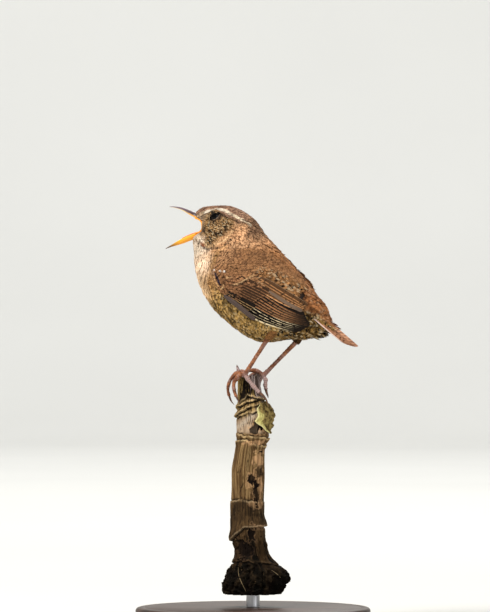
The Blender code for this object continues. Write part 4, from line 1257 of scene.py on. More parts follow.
def colour_skin(mesh):
    """Carries the coat's markings onto the skin; the bare legs have their own colours, with lilac-grey that
    is partly a painted highlight.
    """
    size = len(mesh.vertices)
    co = np.empty(size * 3)
    mesh.vertices.foreach_get("co", co)
    co = co.reshape(-1, 3) / MM
    around = np.radians(np.arange(-180, 180, 6))
    u, phi = (grid.ravel() for grid in np.meshgrid(np.linspace(0, 10.4, 105), around, indexing="ij"))
    looks = markings(u, phi, np.full(len(u), 0.5))
    shared = blend(looks["tint"], looks["ink"], np.clip(looks["bars"][:, 1:2], 0, 1)) * 0.7
    tree = KDTree(len(u))
    for n, point in enumerate(body(u, phi, -1.0).tolist()):
        tree.insert(point, n)
    tree.balance()
    tint = shared[[tree.find(point)[1] for point in co.tolist()]]
    bare = smooth(0.9, 0.0, leg_cover(co))[:, None]
    x, y, z = co.T
    patches = smooth(-0.1, 0.5, layered_noise(co * 0.7, 61, 3))
    # Lilac-grey in patches, on the left hind toe and on the right foot: partly the skin's own tinge, partly a
    # painted highlight
    pale_toe_and_highlight = np.maximum(smooth(-3.4, -1.8, x) * (y < 0), (y > 0) * 1.0) * smooth(96.5, 93.5, z)
    lilac_and_highlight = smooth(-0.1, 0.45, layered_noise(co * 0.6, 67, 2)) * (0.22 + 0.15 * smooth(96, 94, z))
    leg = between((108, 58, 28), (148, 92, 56), patches[:, None])
    leg = painted(leg, (shade(172, 152, 150), np.maximum(lilac_and_highlight, 0.66 * pale_toe_and_highlight)))
    for side, (_, _, ankle, foot, toes) in zip((-1, 1), SIDES):
        chosen = np.flatnonzero((bare[:, 0] > 0) & (np.sign(y) == side))
        phase, _ = leg_scales(co[chosen], foot_lines(ankle, foot, toes))
        seam = smooth(0.8, 0.97, phase) + smooth(0.1, 0.0, phase)
        leg[chosen] = painted(leg[chosen], (shade(84, 50, 34), 0.65 * np.clip(seam, 0, 1)))
    add_layer(mesh, "tint", blend(tint, leg, bare))
    add_layer(mesh, "place", np.repeat(bare, 3, axis=1))


def leg_cover(points):
    """How far places lie above the line where the feathers end on the legs; below zero on bare legs."""
    left = points[:, 1] < 0
    line = np.where(left, ANKLES[0][2] - 0.4, ANKLES[1][2] - 0.2)
    return points[:, 2] - line


def skin_finish():
    finish = Finish("skin_and_legs", roughness=0.55, specular=0.3)
    tint = finish.attribute("tint", "Color")
    bare, _, _ = finish.parts(finish.attribute("place"))
    patches = finish.noise(900.0, detail=4.0)
    colour = finish.mix(patches.ease(0.45, 0.75) * bare * 0.3, tint, shade(176, 126, 94))
    specks = finish.noise(2600.0, detail=2.0).ease(0.55, 0.75)
    colour = finish.mix(specks * bare * 0.6, colour, shade(84, 48, 32))
    finish.colour(colour)
    finish.bump(finish.cell_edges(4200.0).ease(0.0, 0.25), 0.35, 0.00006)
    return finish.material


# The throat behind the open mouth, seen from the side of the straight head: x, z, half height and half width
THROAT = (
    (-21.5, 151.9, 2.4, 3.9),
    (-19.2, 151.9, 1.95, 3.4),
    (-17.0, 151.7, 1.7, 2.7),
    (-14.5, 151.0, 1.1, 1.8),
    (-12.5, 150.3, 0.5, 0.9),
)


def gape_cutter():
    outline = (GAPE_TOP, (-36.0, 164.0), (-36.0, 138.5), GAPE_BOTTOM)
    points = [(x, y, z) for y in (-9.0, 9.0) for x, z in outline]
    faces = [np.array([(0, 1, 2, 3), (7, 6, 5, 4), (0, 4, 5, 1), (1, 5, 6, 2), (2, 6, 7, 3), (3, 7, 4, 0)])]
    return raw_mesh("gape_cutter", turned(points), faces)


def throat_cutter():
    rows = along_rows(THROAT, np.linspace(0, len(THROAT) - 1, 24))
    angle = circle(40)
    x, z, tall, wide = (rows[:, k, None] for k in range(4))
    rings = turned(stacked(x + 0 * angle, wide * np.cos(angle), z + tall * np.sin(angle)))
    points, faces = capped(rings, rings[0].mean(0), rings[-1].mean(0))
    return raw_mesh("throat_cutter", points, faces)


UPPER_BILL = (
    (-18.8, 156.2, -18.6, 153.7, 2.9),
    (-22.0, 157.2, -21.4, 154.7, 2.4),
    (-25.1, 158.4, -24.4, 156.2, 1.6),
    (-28.0, 159.2, -27.6, 158.0, 0.95),
    (-30.6, 159.5, -30.4, 158.95, 0.45),
    (-32.2, 159.45, -32.15, 159.25, 0.14),
)
LOWER_BILL = (
    (-19.6, 147.5, -19.2, 150.0, 2.8),
    (-23.0, 146.7, -22.6, 149.0, 2.3),
    (-26.4, 145.45, -25.6, 147.9, 1.55),
    (-29.2, 144.6, -28.6, 146.5, 0.95),
    (-31.7, 143.9, -31.4, 144.8, 0.45),
    (-33.75, 143.15, -33.7, 143.4, 0.14),
)


def bill_half(word, rows, hollow, nostril, material):
    """Half of the bill: an arch over its ridge, a rolled cutting edge and a hollow inner face."""
    steps, outer, inner = 90, 40, 24
    at = np.linspace(0, len(rows) - 1, steps)
    ridge_x, ridge_z, edge_x, edge_z, width = np.moveaxis(along_rows(rows, at), -1, 0)
    ridge = stacked(ridge_x, 0 * ridge_x, ridge_z)
    edge = stacked(edge_x, 0 * edge_x, edge_z)
    reach = ridge - edge
    angle = np.linspace(0, math.pi, outer)
    arch = np.sin(angle) ** 0.8
    over = edge[:, None] + reach[:, None] * arch[None, :, None]
    over[..., 1] = width[:, None] * np.cos(angle) * (1 + 0.05 * np.exp(-((arch - 0.12) / 0.1) ** 2))
    height = np.broadcast_to(arch, (steps, outer))
    across = np.linspace(-1, 1, inner + 2)[1:-1]
    under = edge[:, None] + reach[:, None] * (hollow * (1 - across**2))[None, :, None]
    under[..., 1] = width[:, None] * across * 0.97
    rings = np.concatenate([over, under], axis=1)
    if nostril:
        x, z = rings[..., 0], rings[..., 2]
        pit = np.exp(-(((x + 23.2) / 0.75) ** 2) - ((z - 156.55 - (x + 23.2) * -0.35) / 0.28) ** 2)
        rings[..., 1] *= 1 - 0.16 * pit * (np.abs(rings[..., 1]) > 0.8)
    share = np.broadcast_to((at / at[-1])[:, None], rings.shape[:2])
    level = np.concatenate([height, np.full((steps, inner), -0.2)], axis=1)
    layer = stacked(share, level, np.zeros_like(share)).reshape(-1, 3)
    points, faces = capped(turned(rings), turned(rings[0].mean(0)), turned(rings[-1].mean(0)))
    layer = np.concatenate([layer, layer[:1], layer[-1:]])
    add_piece(f"{word}_mandible", points, faces, material, f"bill_{word}", {"place": layer},
              replaced=[f"bill_{word}"])


def horn_finish(name, ridge_band, edge_band, levels, palate, roughness):
    """Horn whose colour runs from root to tip, on the ridge and on the cutting edge."""
    finish = Finish(name, roughness=roughness, specular=0.5)
    share, level, _ = finish.parts(finish.attribute("place"))
    grain = finish.noise(1500.0, finish.stretched((0.35, 1.0, 1.0)), detail=3.0)
    wobble = (grain - 0.5) * 0.12
    bands = (ridge_band, edge_band)
    ridge, edge = (finish.between((share + wobble).ease(*reach), root, tip) for root, tip, reach in bands)
    side = finish.mix((level + wobble * 2).ease(*levels), edge, ridge)
    inner = finish.between(share.ease(0.45, 0.9), *palate)
    finish.colour(finish.mix(level.ease(-0.05, -0.15), side, inner))
    finish.bump(grain, 0.25, 0.00008)
    return finish.material


def gape_flange(material):
    """The soft orange fold at each corner of the mouth."""
    for word, side in (("left", -1), ("right", 1)):
        path = np.array((
            (-22.3, 2.25, 154.9), (-20.8, 3.25, 154.4), (-19.75, 4.15, 153.5), (-19.35, 4.75, 152.0),
            (-19.55, 4.55, 150.6), (-20.6, 3.7, 149.6), (-22.3, 2.6, 149.15),
        )) * (1, side, 1)
        radii = (0.3, 0.42, 0.55, 0.62, 0.55, 0.42, 0.28)
        pleat = lambda x: 1 + 0.1 * np.sin(x * 60.0)
        points, faces = closed_tube(turned(path), radii, 70, 20, 0.75, pleat)
        add_piece(f"gape_flange_{word}", points, faces, material, "mouth")


def tongue(material):
    path = turned(((-19.3, 0, 149.7), (-22.4, 0, 149.1), (-25.2, 0, 148.15), (-27.4, 0, 147.25)))
    points, faces = closed_tube(path, (1.2, 1.15, 0.85, 0.3), 40, 24, 0.38)
    add_piece("tongue_piece", points, faces, material, "mouth", replaced=["tongue"])


# The eyelids in rings from the opening's edge outwards: share of the way out, distance from the eye's middle
LID_ROWS = (
    (0.0, 2.31), (0.004, 2.36), (0.02, 2.42), (0.05, 2.45), (0.08, 2.43), (0.12, 2.41),
    (0.2, 2.42), (0.35, 2.41), (0.55, 2.38), (0.78, 2.34), (1.0, 2.28),
)
LID_EDGE = 2.36
LID_SPREAD = math.radians(84)
OPENING_LONG, OPENING_TALL = 2.31, 1.06


def eyes(ball_finish, lid):
    """Each eye's ball with its pupil's place marked, and lids drawn to an almond over it."""
    rows, columns = 48, 72
    out, radius = np.array(LID_ROWS).T[..., None, None]
    for word, side in (("left", -1), ("right", 1)):
        centre = EYE * (1, side, 1)
        axis = unit(np.array((-0.1, side, 0.06)))
        long = np.array((math.cos(EYE_TILT), 0, math.sin(EYE_TILT)))
        long = unit(long - axis * (long @ axis))
        tall = np.cross(long, axis) * side
        beta = circle(columns)
        theta = np.linspace(0.0, math.pi, rows)[:, None] + 0 * beta
        ring = long * np.cos(beta)[:, None] + tall * np.sin(beta)[:, None]
        ball = centre + EYE_RADIUS * (axis * np.cos(theta)[..., None] + ring * np.sin(theta)[..., None])
        ball = turned(ball.reshape(-1, 3))
        layer = stacked(theta, 0 * theta, 0 * theta).reshape(-1, 3)
        faces = [grid_faces(rows, columns, closed=True)[:, ::side]]
        add_piece(f"eyeball_{word}", ball, faces, ball_finish, "eyes", {"place": layer},
                  replaced=[f"eye_{word}"])
        opening = np.arcsin(np.clip(almond(beta) / LID_EDGE, 0, 0.99))[:, None]
        psi = opening * (1 - out) + LID_SPREAD * out
        lids = centre + (axis * np.cos(psi) + ring * np.sin(psi)) * radius
        corner = smooth(0.93, 0.995, np.abs(np.cos(beta)))
        share = np.ravel(out[..., 0] * (1 - 0.86 * corner))
        layer = stacked(share, 0 * share, 0 * share)
        faces = [grid_faces(len(LID_ROWS), columns, closed=True)[:, ::side]]
        add_piece(f"eyelids_{word}", turned(lids.reshape(-1, 3)), faces, lid, "plumage", {"place": layer})


def almond(beta):
    """How far the lids' opening reaches from its middle in each direction."""
    c, s = np.abs(np.cos(beta)) / OPENING_LONG, np.abs(np.sin(beta)) / OPENING_TALL
    return 1 / (c**1.45 + s**1.45) ** (1 / 1.45)


def eye_finish():
    finish = Finish("eye", roughness=0.12, specular=0.1)
    theta, _, _ = finish.parts(finish.attribute("place"))
    streaks = finish.noise(1800.0, detail=2.0)
    iris = finish.between(streaks, (10, 6, 5), (22, 13, 9))
    pupil = theta.ease(0.46, 0.4)
    finish.colour(finish.mix(pupil, iris, shade(3, 2, 2)))
    return finish.material


def lid_finish():
    finish = Finish("eyelid", roughness=0.5)
    out, _, _ = finish.parts(finish.attribute("place"))
    grain = finish.noise(3000.0, detail=3.0)
    rim = finish.between(grain.ease(0.3, 0.7), (16, 11, 9), (36, 26, 20))
    pale = finish.between(grain.ease(0.3, 0.7), (96, 70, 50), (190, 156, 116))
    outer = finish.between(grain.ease(0.3, 0.7), (54, 39, 27), (118, 88, 60))
    finish.colour(finish.mix(out.ease(0.09, 0.13), finish.mix(out.ease(0.03, 0.06), rim, pale), outer))
    finish.bump(grain, 0.4, 0.00008)
    return finish.material


# The stem: height, middle x and radius in millimetres
STEM_ROWS = (
    (11.0, -0.2, 9.6),
    (16.0, 0.7, 9.6),
    (20.5, 0.9, 8.6),
    (24.5, -0.2, 6.9),
    (29.0, -0.9, 6.3),
    (33.0, -1.7, 6.5),
    (38.0, -1.9, 6.5),
    (47.0, -2.1, 6.2),
    (58.0, -2.1, 6.3),
    (66.0, -1.3, 5.8),
    (71.5, -0.4, 5.9),
    (80.0, -0.2, 6.1),
    (84.5, -0.7, 5.2),
    (90.0, -1.2, 4.4),
    (94.2, -1.3, 3.7),
)
# Lumps on it: degrees, height, how far each stands out, and its spread in degrees and in millimetres
STEM_LUMPS = (
    (180.0, 15.5, 1.5, 42.0, 5.5),
    (0.0, 17.5, 2.9, 40.0, 5.0),
    (262.0, 13.5, 1.7, 45.0, 5.0),
    (95.0, 16.0, 2.4, 45.0, 4.5),
    (5.0, 71.0, 0.5, 50.0, 2.2),
)


def from_direction(degrees, direction):
    """Degrees from a direction, between -180 and 180."""
    return (degrees - direction + 180) % 360 - 180


def stem_radius(z, degrees):
    """The stem's middle and its radius, before its bark, at heights and in directions."""
    heights = [row[0] for row in STEM_ROWS]
    at = np.interp(z, heights, np.arange(len(heights)))
    middle, radius = np.moveaxis(along_rows([row[1:] for row in STEM_ROWS], at), -1, 0)
    around = np.radians(degrees)
    radius = radius + 0.22 * np.sin(3 * around + z * 0.11) + 0.132 * np.sin(5 * around - z * 0.23)
    for direction, height, out, wide, tall in STEM_LUMPS:
        away = from_direction(degrees, direction) / wide
        radius = radius + out * np.exp(-(away**2) - ((z - height) / tall) ** 2)
    return middle, radius


# Edges in the stem's bark: height, rise towards +X up to the middle and beyond it, how far each wanders and
# stands out, over what height that tapers, whether it hangs over what is below (1) or stands up round what is
# above (-1), and how much of it is left where it is worn most
STEM_EDGES = (
    (87.0, 5.0, -1.5, 0.6, 0.7, 2.0, 1, 0.5),
    (84.8, 3.0, 1.0, 0.5, 0.75, 1.4, 1, 0.3),
    (82.4, 3.8, 1.5, 0.4, 0.95, 1.8, 1, 0.4),
    (80.3, 2.2, 1.0, 0.5, 0.3, 1.5, 1, 0.1),
    (71.9, -0.6, -1.0, 0.5, 0.55, 2.5, -1, 0.1),
    (70.0, 0.5, -2.2, 0.6, 0.45, 2.0, -1, 0.1),
    (47.0, 0.3, -0.6, 0.5, 0.4, 6.0, -1, 0.3),
    (36.4, 5.2, 0.6, 0.3, 1.0, 5.0, 1, 0.9),
    (23.6, 0.3, -1.0, 0.6, 0.5, 3.0, 1, 0.1),
)
# Broken patches in the bark: degrees, height, half widths in degrees and mm, how dark each is (painted shade
# in its torn hollow; below 0, pale) and how far each stands out (below 0, lies in)
STEM_PATCHES = (
    (-54.0, 74.8, 30.0, 2.5, 1.0, -0.6),
    (-24.0, 65.7, 22.0, 0.7, 1.0, -0.5),
    (-30.0, 58.5, 20.0, 2.0, 0.7, 0.35),
    (-40.0, 50.0, 16.0, 5.0, 1.0, -0.45),
    (-62.0, 55.0, 12.0, 2.4, 1.0, -0.35),
    (-30.0, 62.0, 22.0, 2.6, -0.8, 0.1),
    (-70.0, 53.0, 10.0, 1.2, -0.4, 0.2),
    (-20.0, 52.5, 14.0, 2.6, -0.9, 0.2),
    (-40.0, 45.5, 26.0, 1.6, -0.5, 0.15),
    (-105.0, 28.5, 30.0, 3.6, 1.0, -0.6),
    (-66.0, 34.0, 12.0, 3.0, 1.0, -0.5),
    (-30.0, 36.5, 22.0, 1.0, -0.5, 0.5),
    (-62.0, 69.0, 30.0, 0.9, -0.9, 0.25),
)


def bark_edges(z, around, ring, radius):
    """The radius with its edges, and how near places are to a crest, which is painted as a highlight, and to
    the gap beside it, which is painted as shadow.
    """
    crest_highlight, gap_shadow = 0 * z, 0 * z
    for n, (height, rise, beyond, wandering, out, taper, hangs, least) in enumerate(STEM_EDGES):
        wander = wandering * layered_noise(ring * (0.7, 0.7, 0.2), 70 + n, 3)
        climb = np.where(np.cos(around) < 0, rise, beyond) * np.cos(around)
        away = (z - height - climb - wander) * hangs
        fades = np.clip(0.85 + 1.1 * layered_noise(ring * (0.4, 0.4, 0.1), 90 + n, 2), least, 1)
        radius = radius + out * fades * smooth(-0.12, 0.12, away) * smooth(taper, 0.3, away)
        # Painted highlight along the crest of each edge
        crest_highlight = np.maximum(crest_highlight, fades * np.exp(-(((away - 0.3) / 0.34) ** 2)))
        # Painted shadow under edges that hang over, and in the groove beside each crest
        below = smooth(-0.95, -0.55, away) * smooth(0.1, -0.15, away)
        gap_shadow = np.maximum(gap_shadow, fades * below * (0.5 + 0.5 * hangs))
        gap_shadow = np.maximum(gap_shadow, fades * np.exp(-(((away + 0.22) / 0.22) ** 2)))
    return radius, crest_highlight, gap_shadow


def bark_patches(z, degrees, solid, radius):
    """The radius with its broken patches, and how torn or bleached places are."""
    torn, bleached = 0 * z, 0 * z
    for direction, height, wide, tall, dark, out in STEM_PATCHES:
        reach = np.hypot(from_direction(degrees, direction) / wide, (z - height) / tall)
        reach = reach + 0.65 * layered_noise(solid * 0.7 + direction, 111, 3)
        inside = smooth(1.05, 0.8, reach)
        radius = radius + out * inside
        rim = np.exp(-(((reach - 1.05) / 0.16) ** 2))
        torn = np.maximum(torn, inside * max(dark, 0))
        bleached = np.maximum(bleached, np.maximum(inside * max(-dark, 0), rim * abs(dark) * 0.7))
    return radius, torn, bleached


def stem(material):
    """The broken stem: furrowed bark with folds and edges, a knotted foot and a torn top."""
    turn, heights = np.linspace(0, 360, 260, endpoint=False), np.linspace(11.0, 94.4, 460)
    z, degrees = np.meshgrid(heights, turn, indexing="ij")
    middle, radius = stem_radius(z, degrees)
    around = np.radians(degrees)
    ring = stacked(np.cos(around) * 6, np.sin(around) * 6, z * 0.22)
    solid = stacked(np.cos(around) * radius, np.sin(around) * radius, z)
    lumps = layered_noise(ring * 0.42, 3, 3)
    fibres = layered_noise(ring * (2.4, 2.4, 0.5), 9, 4)
    cracks = 1 - np.abs(layered_noise(ring * (0.9, 0.9, 0.5) + 40, 19, 3))
    plates = layered_noise(solid * (0.42, 0.42, 0.3), 27, 4)
    gnarls = 1 - 2 * np.abs(layered_noise(solid * 0.36 + 9, 37, 4))
    knot, top, charred = smooth(25, 20, z), smooth(85, 88, z), smooth(37, 31, z)
    radius = radius + lumps * (0.14 + 0.3 * knot + 0.15 * top)
    radius = radius + fibres * (0.07 + 0.1 * charred + 0.25 * top)
    radius = radius + 1.35 * knot * gnarls + 0.45 * (charred + 0.5 * top) * plates
    radius = radius - smooth(0.84, 1.0, cracks) * (0.1 + 0.45 * charred + 0.4 * top)
    radius, crest_highlight, gap_shadow = bark_edges(z, around, ring, radius)
    radius, torn, bleached = bark_patches(z, degrees, solid, radius)
    # The gaps are cut in a little here; their dark colour is painted shadow
    radius = radius - 0.35 * gap_shadow
    points = stacked(middle + radius * np.cos(around), radius * np.sin(around), z)
    tear = np.clip((z - 91.0) / 3.4, 0, 1)
    points[..., 2] += tear * layered_noise(ring * (1.1, 1.1, 0.0) + 7, 51, 3) * 1.2
    points[..., 2] = np.minimum(points[..., 2], 95.6)
    foot, crown = points[0].mean(0), points[-1].mean(0)
    inner = np.array([points[-1] + (crown - points[-1]) * k for k in (0.2, 0.4, 0.6, 0.8)])
    inner[..., 2] = 93.6 + layered_noise(inner * 0.9, 61, 3) * 0.8
    flat, faces = capped(np.concatenate([points, inner]), foot, crown - (0, 0, 1.0))

    # Painted shade: near black in the cracks, in the torn hollows and in the knot's furrows
    pit = np.maximum(smooth(0.88, 1.0, cracks) * 0.8, torn * (0.85 + 0.15 * smooth(-0.2, 0.2, plates)))
    pit = np.maximum(pit, knot * smooth(0.1, -0.5, gnarls) * 0.9)
    worn = between((62, 46, 34), (190, 148, 106), smooth(28, 46, z)[..., None])
    tint = painted(
        bark_tint(z, around, fibres, lumps, plates, crest_highlight, gap_shadow),
        (shade(20, 13, 9), pit),
        (worn, bleached * (1 - torn) * (0.5 + 0.5 * smooth(-0.3, 0.3, fibres))),
    )
    rot = smooth(-0.2, 0.5, layered_noise(inner * 0.8, 63, 2))[..., None]
    broken = between((92, 74, 56), (150, 132, 122), rot)
    ends = np.tile(shade(90, 70, 50), (2, 1))
    tint = np.concatenate([tint.reshape(-1, 3), broken.reshape(-1, 3), ends])
    add_piece("stem_bark", flat, [face[:, ::-1] for face in faces], material, "bark", {"tint": tint},
              replaced=["perch_stem"])


def bark_tint(z, around, fibres, lumps, plates, crest_highlight, gap_shadow):
    """The bark's colour by height: lichened, then folded, smooth and grey, brown, and burnt, with a painted
    highlight on its edges' crests and painted shadow in the gaps beside them.
    """
    grain = smooth(-0.35, 0.55, fibres)[..., None]
    patch = smooth(-0.3, 0.4, lumps)[..., None]
    plate = smooth(-0.35, 0.35, plates)[..., None]
    facing = np.cos(around + math.radians(75.0))
    brown = between((82, 60, 36), (130, 104, 68), grain)
    sheath = between((42, 31, 19), (80, 60, 37), grain * 0.5 + plate * 0.5)
    grey = between((120, 98, 76), (170, 146, 120), patch)
    folded = between((70, 52, 30), (160, 132, 84), grain)
    wood = between((74, 60, 54), (166, 148, 142), grain)
    lichen = between((22, 16, 11), (150, 124, 74), smooth(0.0, 0.5, fibres + 0.6 * plates)[..., None])
    lichen = painted(lichen, (wood, smooth(-0.1, 0.35, np.cos(around) - 0.15 + 0.9 * lumps + 0.5 * plates)))
    burnt = between((9, 7, 4), (36, 27, 16), plate * (0.25 + 0.75 * grain))
    block = smooth(0.05, 0.25, lumps + 0.5 * fibres)
    burnt = painted(burnt, (shade(80, 58, 34), block * 0.35 * smooth(19.0, 24.0, z)))
    stripe = np.exp(-(((z - 80.2 - 5.4 * np.sin(around + math.radians(67.0))) / 1.1) ** 2)) * (facing > 0.3)
    # The crests' pale colour is a painted highlight, darker low down on the burnt bark
    edge = between((148, 126, 98), (206, 176, 128), smooth(40, 62, z)[..., None])
    edge = blend(shade(70, 54, 36), edge, smooth(26, 31, z)[..., None])
    return painted(
        burnt,
        (sheath, smooth(31.0, 37.0, z + 3 * lumps)),
        (brown, smooth(46.0, 48.5, z)),
        (grey, smooth(72.0, 73.5, z)),
        (folded, smooth(78.5, 80.5, z - 2.5 * np.cos(around))),
        (lichen, smooth(85.0, 86.5, z - 2.5 * np.minimum(np.cos(around), 0))),
        (shade(172, 156, 136), stripe * 0.8),
        # Painted highlight on the crests, and painted shadow in the gaps beside them
        (edge, crest_highlight * 0.7),
        (shade(14, 10, 7), gap_shadow * 0.92),
    )


def hanging_fibres(material):
    """Two pale strands of fibre that lie over the stem's knot."""
    strands = (
        ((-118, 21.6), (-112, 18.8), (-100, 16.0), (-88, 12.6)),
        ((-38, 20.6), (-30, 19.2), (-24, 17.6)),
    )
    tubes = []
    for strand in strands:
        degrees, z = np.array(strand).T
        middle, radius = stem_radius(z, degrees)
        radius, around = radius + 0.9, np.radians(degrees)
        path = stacked(middle + radius * np.cos(around), radius * np.sin(around), z)
        tubes.append(closed_tube(path, (0.08, 0.22, 0.26, 0.07), 40, 10, 0.5))
    points, faces = joined(tubes)
    tint = np.tile(shade(126, 108, 80), (len(points), 1))
    add_piece("hanging_fibres", points, faces, material, "bark", {"tint": tint})


def bark_finish():
    """Dry bark: the colour its height gives it, with fine fibres, pores and cracks."""
    finish = Finish("bark", roughness=0.92, specular=0.06)
    tint = finish.attribute("tint", "Color")
    fibres = finish.noise(1300.0, finish.stretched((1.0, 1.0, 0.16)), detail=5.0, roughness=0.65)
    fine = finish.noise(2600.0, finish.stretched((1.0, 1.0, 0.5)), detail=3.0)
    level = (fibres - 0.5) * 0.9 + (fine - 0.5) * 0.5 + 1.0
    colour = finish.scaled(tint, level)
    finish.colour(finish.mix(fibres.ease(0.62, 0.78) * 0.35, colour, shade(196, 168, 124)))
    finish.bump(fibres * 0.7 + fine * 0.5, 0.8, 0.0005)
    return finish.material


# The flake's two sides: share of its height and degrees round the stem
FLAKE_LEFT = ((0.0, -14.0), (0.2, -42.0), (0.4, -66.0), (0.6, -60.0), (0.8, -56.0), (1.0, -52.0))
FLAKE_RIGHT = ((0.0, -8.0), (0.3, 4.0), (0.6, 14.0), (0.75, 16.0), (0.9, 2.0), (1.0, -34.0))


def bark_flap(material):
    """The pale curled flake on the stem's right side, ragged and thin."""
    rows, columns = 110, 90
    rise, turn = np.meshgrid(np.linspace(0, 1, rows), np.linspace(0, 1, columns), indexing="ij")
    ragged = layered_noise(stacked(rise * 5, 0 * turn, 0 * rise), 5, 3)
    ends = layered_noise(stacked(turn * 4, rise * 1.0, 0 * rise), 15, 3)
    left, right = table(FLAKE_LEFT, rise)[0] + 5 * ragged, table(FLAKE_RIGHT, rise)[0] + 8 * ragged
    z = blend(73.2, 84.2, rise) + ends * 0.7
    degrees = blend(left, right, turn)
    middle, radius = stem_radius(z, degrees)
    out = 0.8 + 1.3 * turn**1.2 * np.sin(math.pi * np.clip(0.08 + 0.72 * rise, 0, 1)) + 0.8 * (1 - turn) ** 4
    wave = layered_noise(stacked(rise * 5, turn * 5, 0 * rise), 77, 4)
    around, full = np.radians(degrees), 0.3 + 0.7 * np.sin(math.pi * turn) ** 0.5
    sheets = []
    for thick in (0.45, 0.0):
        reach = radius + out + wave * (0.15 + 0.5 * turn) + thick * full
        sheets.append(stacked(middle + reach * np.cos(around), reach * np.sin(around), z))
    size = rows * columns
    quads = grid_faces(rows, columns)
    faces = np.concatenate([quads, quads[:, ::-1] + size])
    rim = np.concatenate([
        np.arange(columns), np.arange(1, rows) * columns + columns - 1,
        (rows - 1) * columns + np.arange(columns - 2, -1, -1), np.arange(rows - 2, 0, -1) * columns,
    ])
    after = np.roll(rim, -1)
    side = stacked(after, rim, rim + size, after + size)
    points = np.concatenate([sheet.reshape(-1, 3) for sheet in sheets])
    layer = stacked(rise, turn, wave * 0.5 + 0.5).reshape(-1, 3)
    add_piece("bark_curl", points, [np.concatenate([faces, side])], material, "pale_bark",
              {"place": np.concatenate([layer, layer])}, replaced=["perch_bark_flap"])


def flap_finish():
    """Pale inner bark: bright along its left edge, rough and brown towards the right."""
    finish = Finish("pale_bark", roughness=0.9, specular=0.08)
    rise, turn, wave = finish.parts(finish.attribute("place"))
    fibres = finish.noise(1500.0, finish.stretched((1.0, 1.0, 0.25)), detail=5.0, roughness=0.65)
    blots = finish.noise(620.0, detail=4.0, roughness=0.6)
    pale = finish.between(fibres.ease(0.35, 0.65), (158, 144, 84), (214, 204, 130))
    rough = finish.between(blots.ease(0.35, 0.62), (58, 44, 24), (142, 122, 72))
    from_edge = turn + (rise - 0.45).larger(0.0) * 0.8 + (wave - 0.5) * 0.5
    colour = finish.mix(from_edge.ease(0.22, 0.48), pale, rough)
    finish.colour(finish.mix(turn.ease(0.1, 0.02) * 0.7, colour, shade(232, 222, 160)))
    finish.bump(fibres + blots, 0.8, 0.0005)
    return finish.material


def splinter(material):
    """The upright splinter of the torn top, at the near foot."""
    path = ((-5.0, 0.3, 91.6), (-5.5, 0.4, 94.2), (-6.1, 0.6, 96.8), (-6.6, 0.8, 98.8))
    rings, middle = tube(path, (0.9, 0.95, 0.6, 0.1), 60, 24)
    rings = rings + (layered_noise(rings * 1.6, 90, 3) * 0.12)[..., None] * unit(rings - middle[:, None])
    points, faces = capped(rings, rings[0].mean(0), rings[-1].mean(0))
    pale = smooth(-0.2, 0.4, layered_noise(points * 1.2, 95, 2))[:, None]
    tint = between((84, 62, 50), (172, 150, 148), pale)
    add_piece("splinter", points, faces, material, "bark", {"tint": tint}, replaced=["perch_splinter"])


BASE_TOP = 6.0
BASE_SIDES = 144
# The base's edge from its underside to the middle of its top: radius and height
BASE_PROFILE = (
    (44.2, 0.0), (44.8, 0.25), (45.0, 0.8), (45.0, 4.8), (44.8, 5.3), (44.4, 5.7), (43.8, 5.92),
    (43.0, BASE_TOP), (41.6, BASE_TOP), (41.35, 5.86), (41.1, BASE_TOP), (10.0, BASE_TOP),
)


def stand(wood, steel):
    """The display stand: a turned wooden base with an eased rim and a short steel rod."""
    angle = circle(BASE_SIDES)
    radius, height = (column[:, None] for column in np.array(BASE_PROFILE).T)
    rings = stacked(radius * np.cos(angle), radius * np.sin(angle), height + 0 * angle)
    points, faces = capped(rings, (0, 0, 0), (0, 0, BASE_TOP))
    faces = [face[:, ::-1] for face in faces]
    base = add_piece("base_disc", points, faces, wood, "stand_wood", replaced=["stand_base"])
    base.data.set_sharp_from_angle(angle=math.radians(40))
    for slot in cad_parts["stand_rod"].material_slots:
        slot.material = steel


def wood_finish():
    finish = Finish("stained_wood", roughness=0.42, specular=0.45)
    rings = finish.noise(26.0, finish.stretched((1.0, 9.0, 9.0)), detail=5.0, roughness=0.6)
    pores = finish.noise(420.0, finish.stretched((0.06, 1.0, 1.0)), detail=3.0)
    colour = finish.between(rings.ease(0.3, 0.7), (38, 24, 17), (74, 48, 33))
    finish.colour(finish.mix(pores.ease(0.58, 0.75) * 0.6, colour, shade(22, 14, 10)))
    finish.rough(0.36 + pores * 0.16)
    finish.bump(pores, 0.25, 0.0002)
    return finish.material


def steel_finish():
    finish = Finish("satin_steel", roughness=0.3, specular=0.5, Metallic=1.0)
    brushed = finish.noise(3000.0, finish.stretched((1.0, 1.0, 0.05)), detail=2.0)
    finish.colour(finish.between(brushed, (168, 168, 170), (206, 206, 206)))
    finish.rough(0.24 + brushed * 0.16)
    return finish.material


AZIMUTH = math.radians(15.0)
BACK = np.array((math.sin(AZIMUTH), -math.cos(AZIMUTH), 0.0))
RIGHT = np.array((math.cos(AZIMUTH), math.sin(AZIMUTH), 0.0))
UP = np.array((0.0, 0.0, 1.0))
# The camera's distance, the height of its view and the middle of its picture, rightwards and up, in metres
CAMERA_DISTANCE, VIEW_HEIGHT = 2.0, 0.2344
PICTURE_RIGHT, PICTURE_UP = -0.00306, 0.1213
LAMPS_AIM = np.array((0.0, 0.0, 0.12))
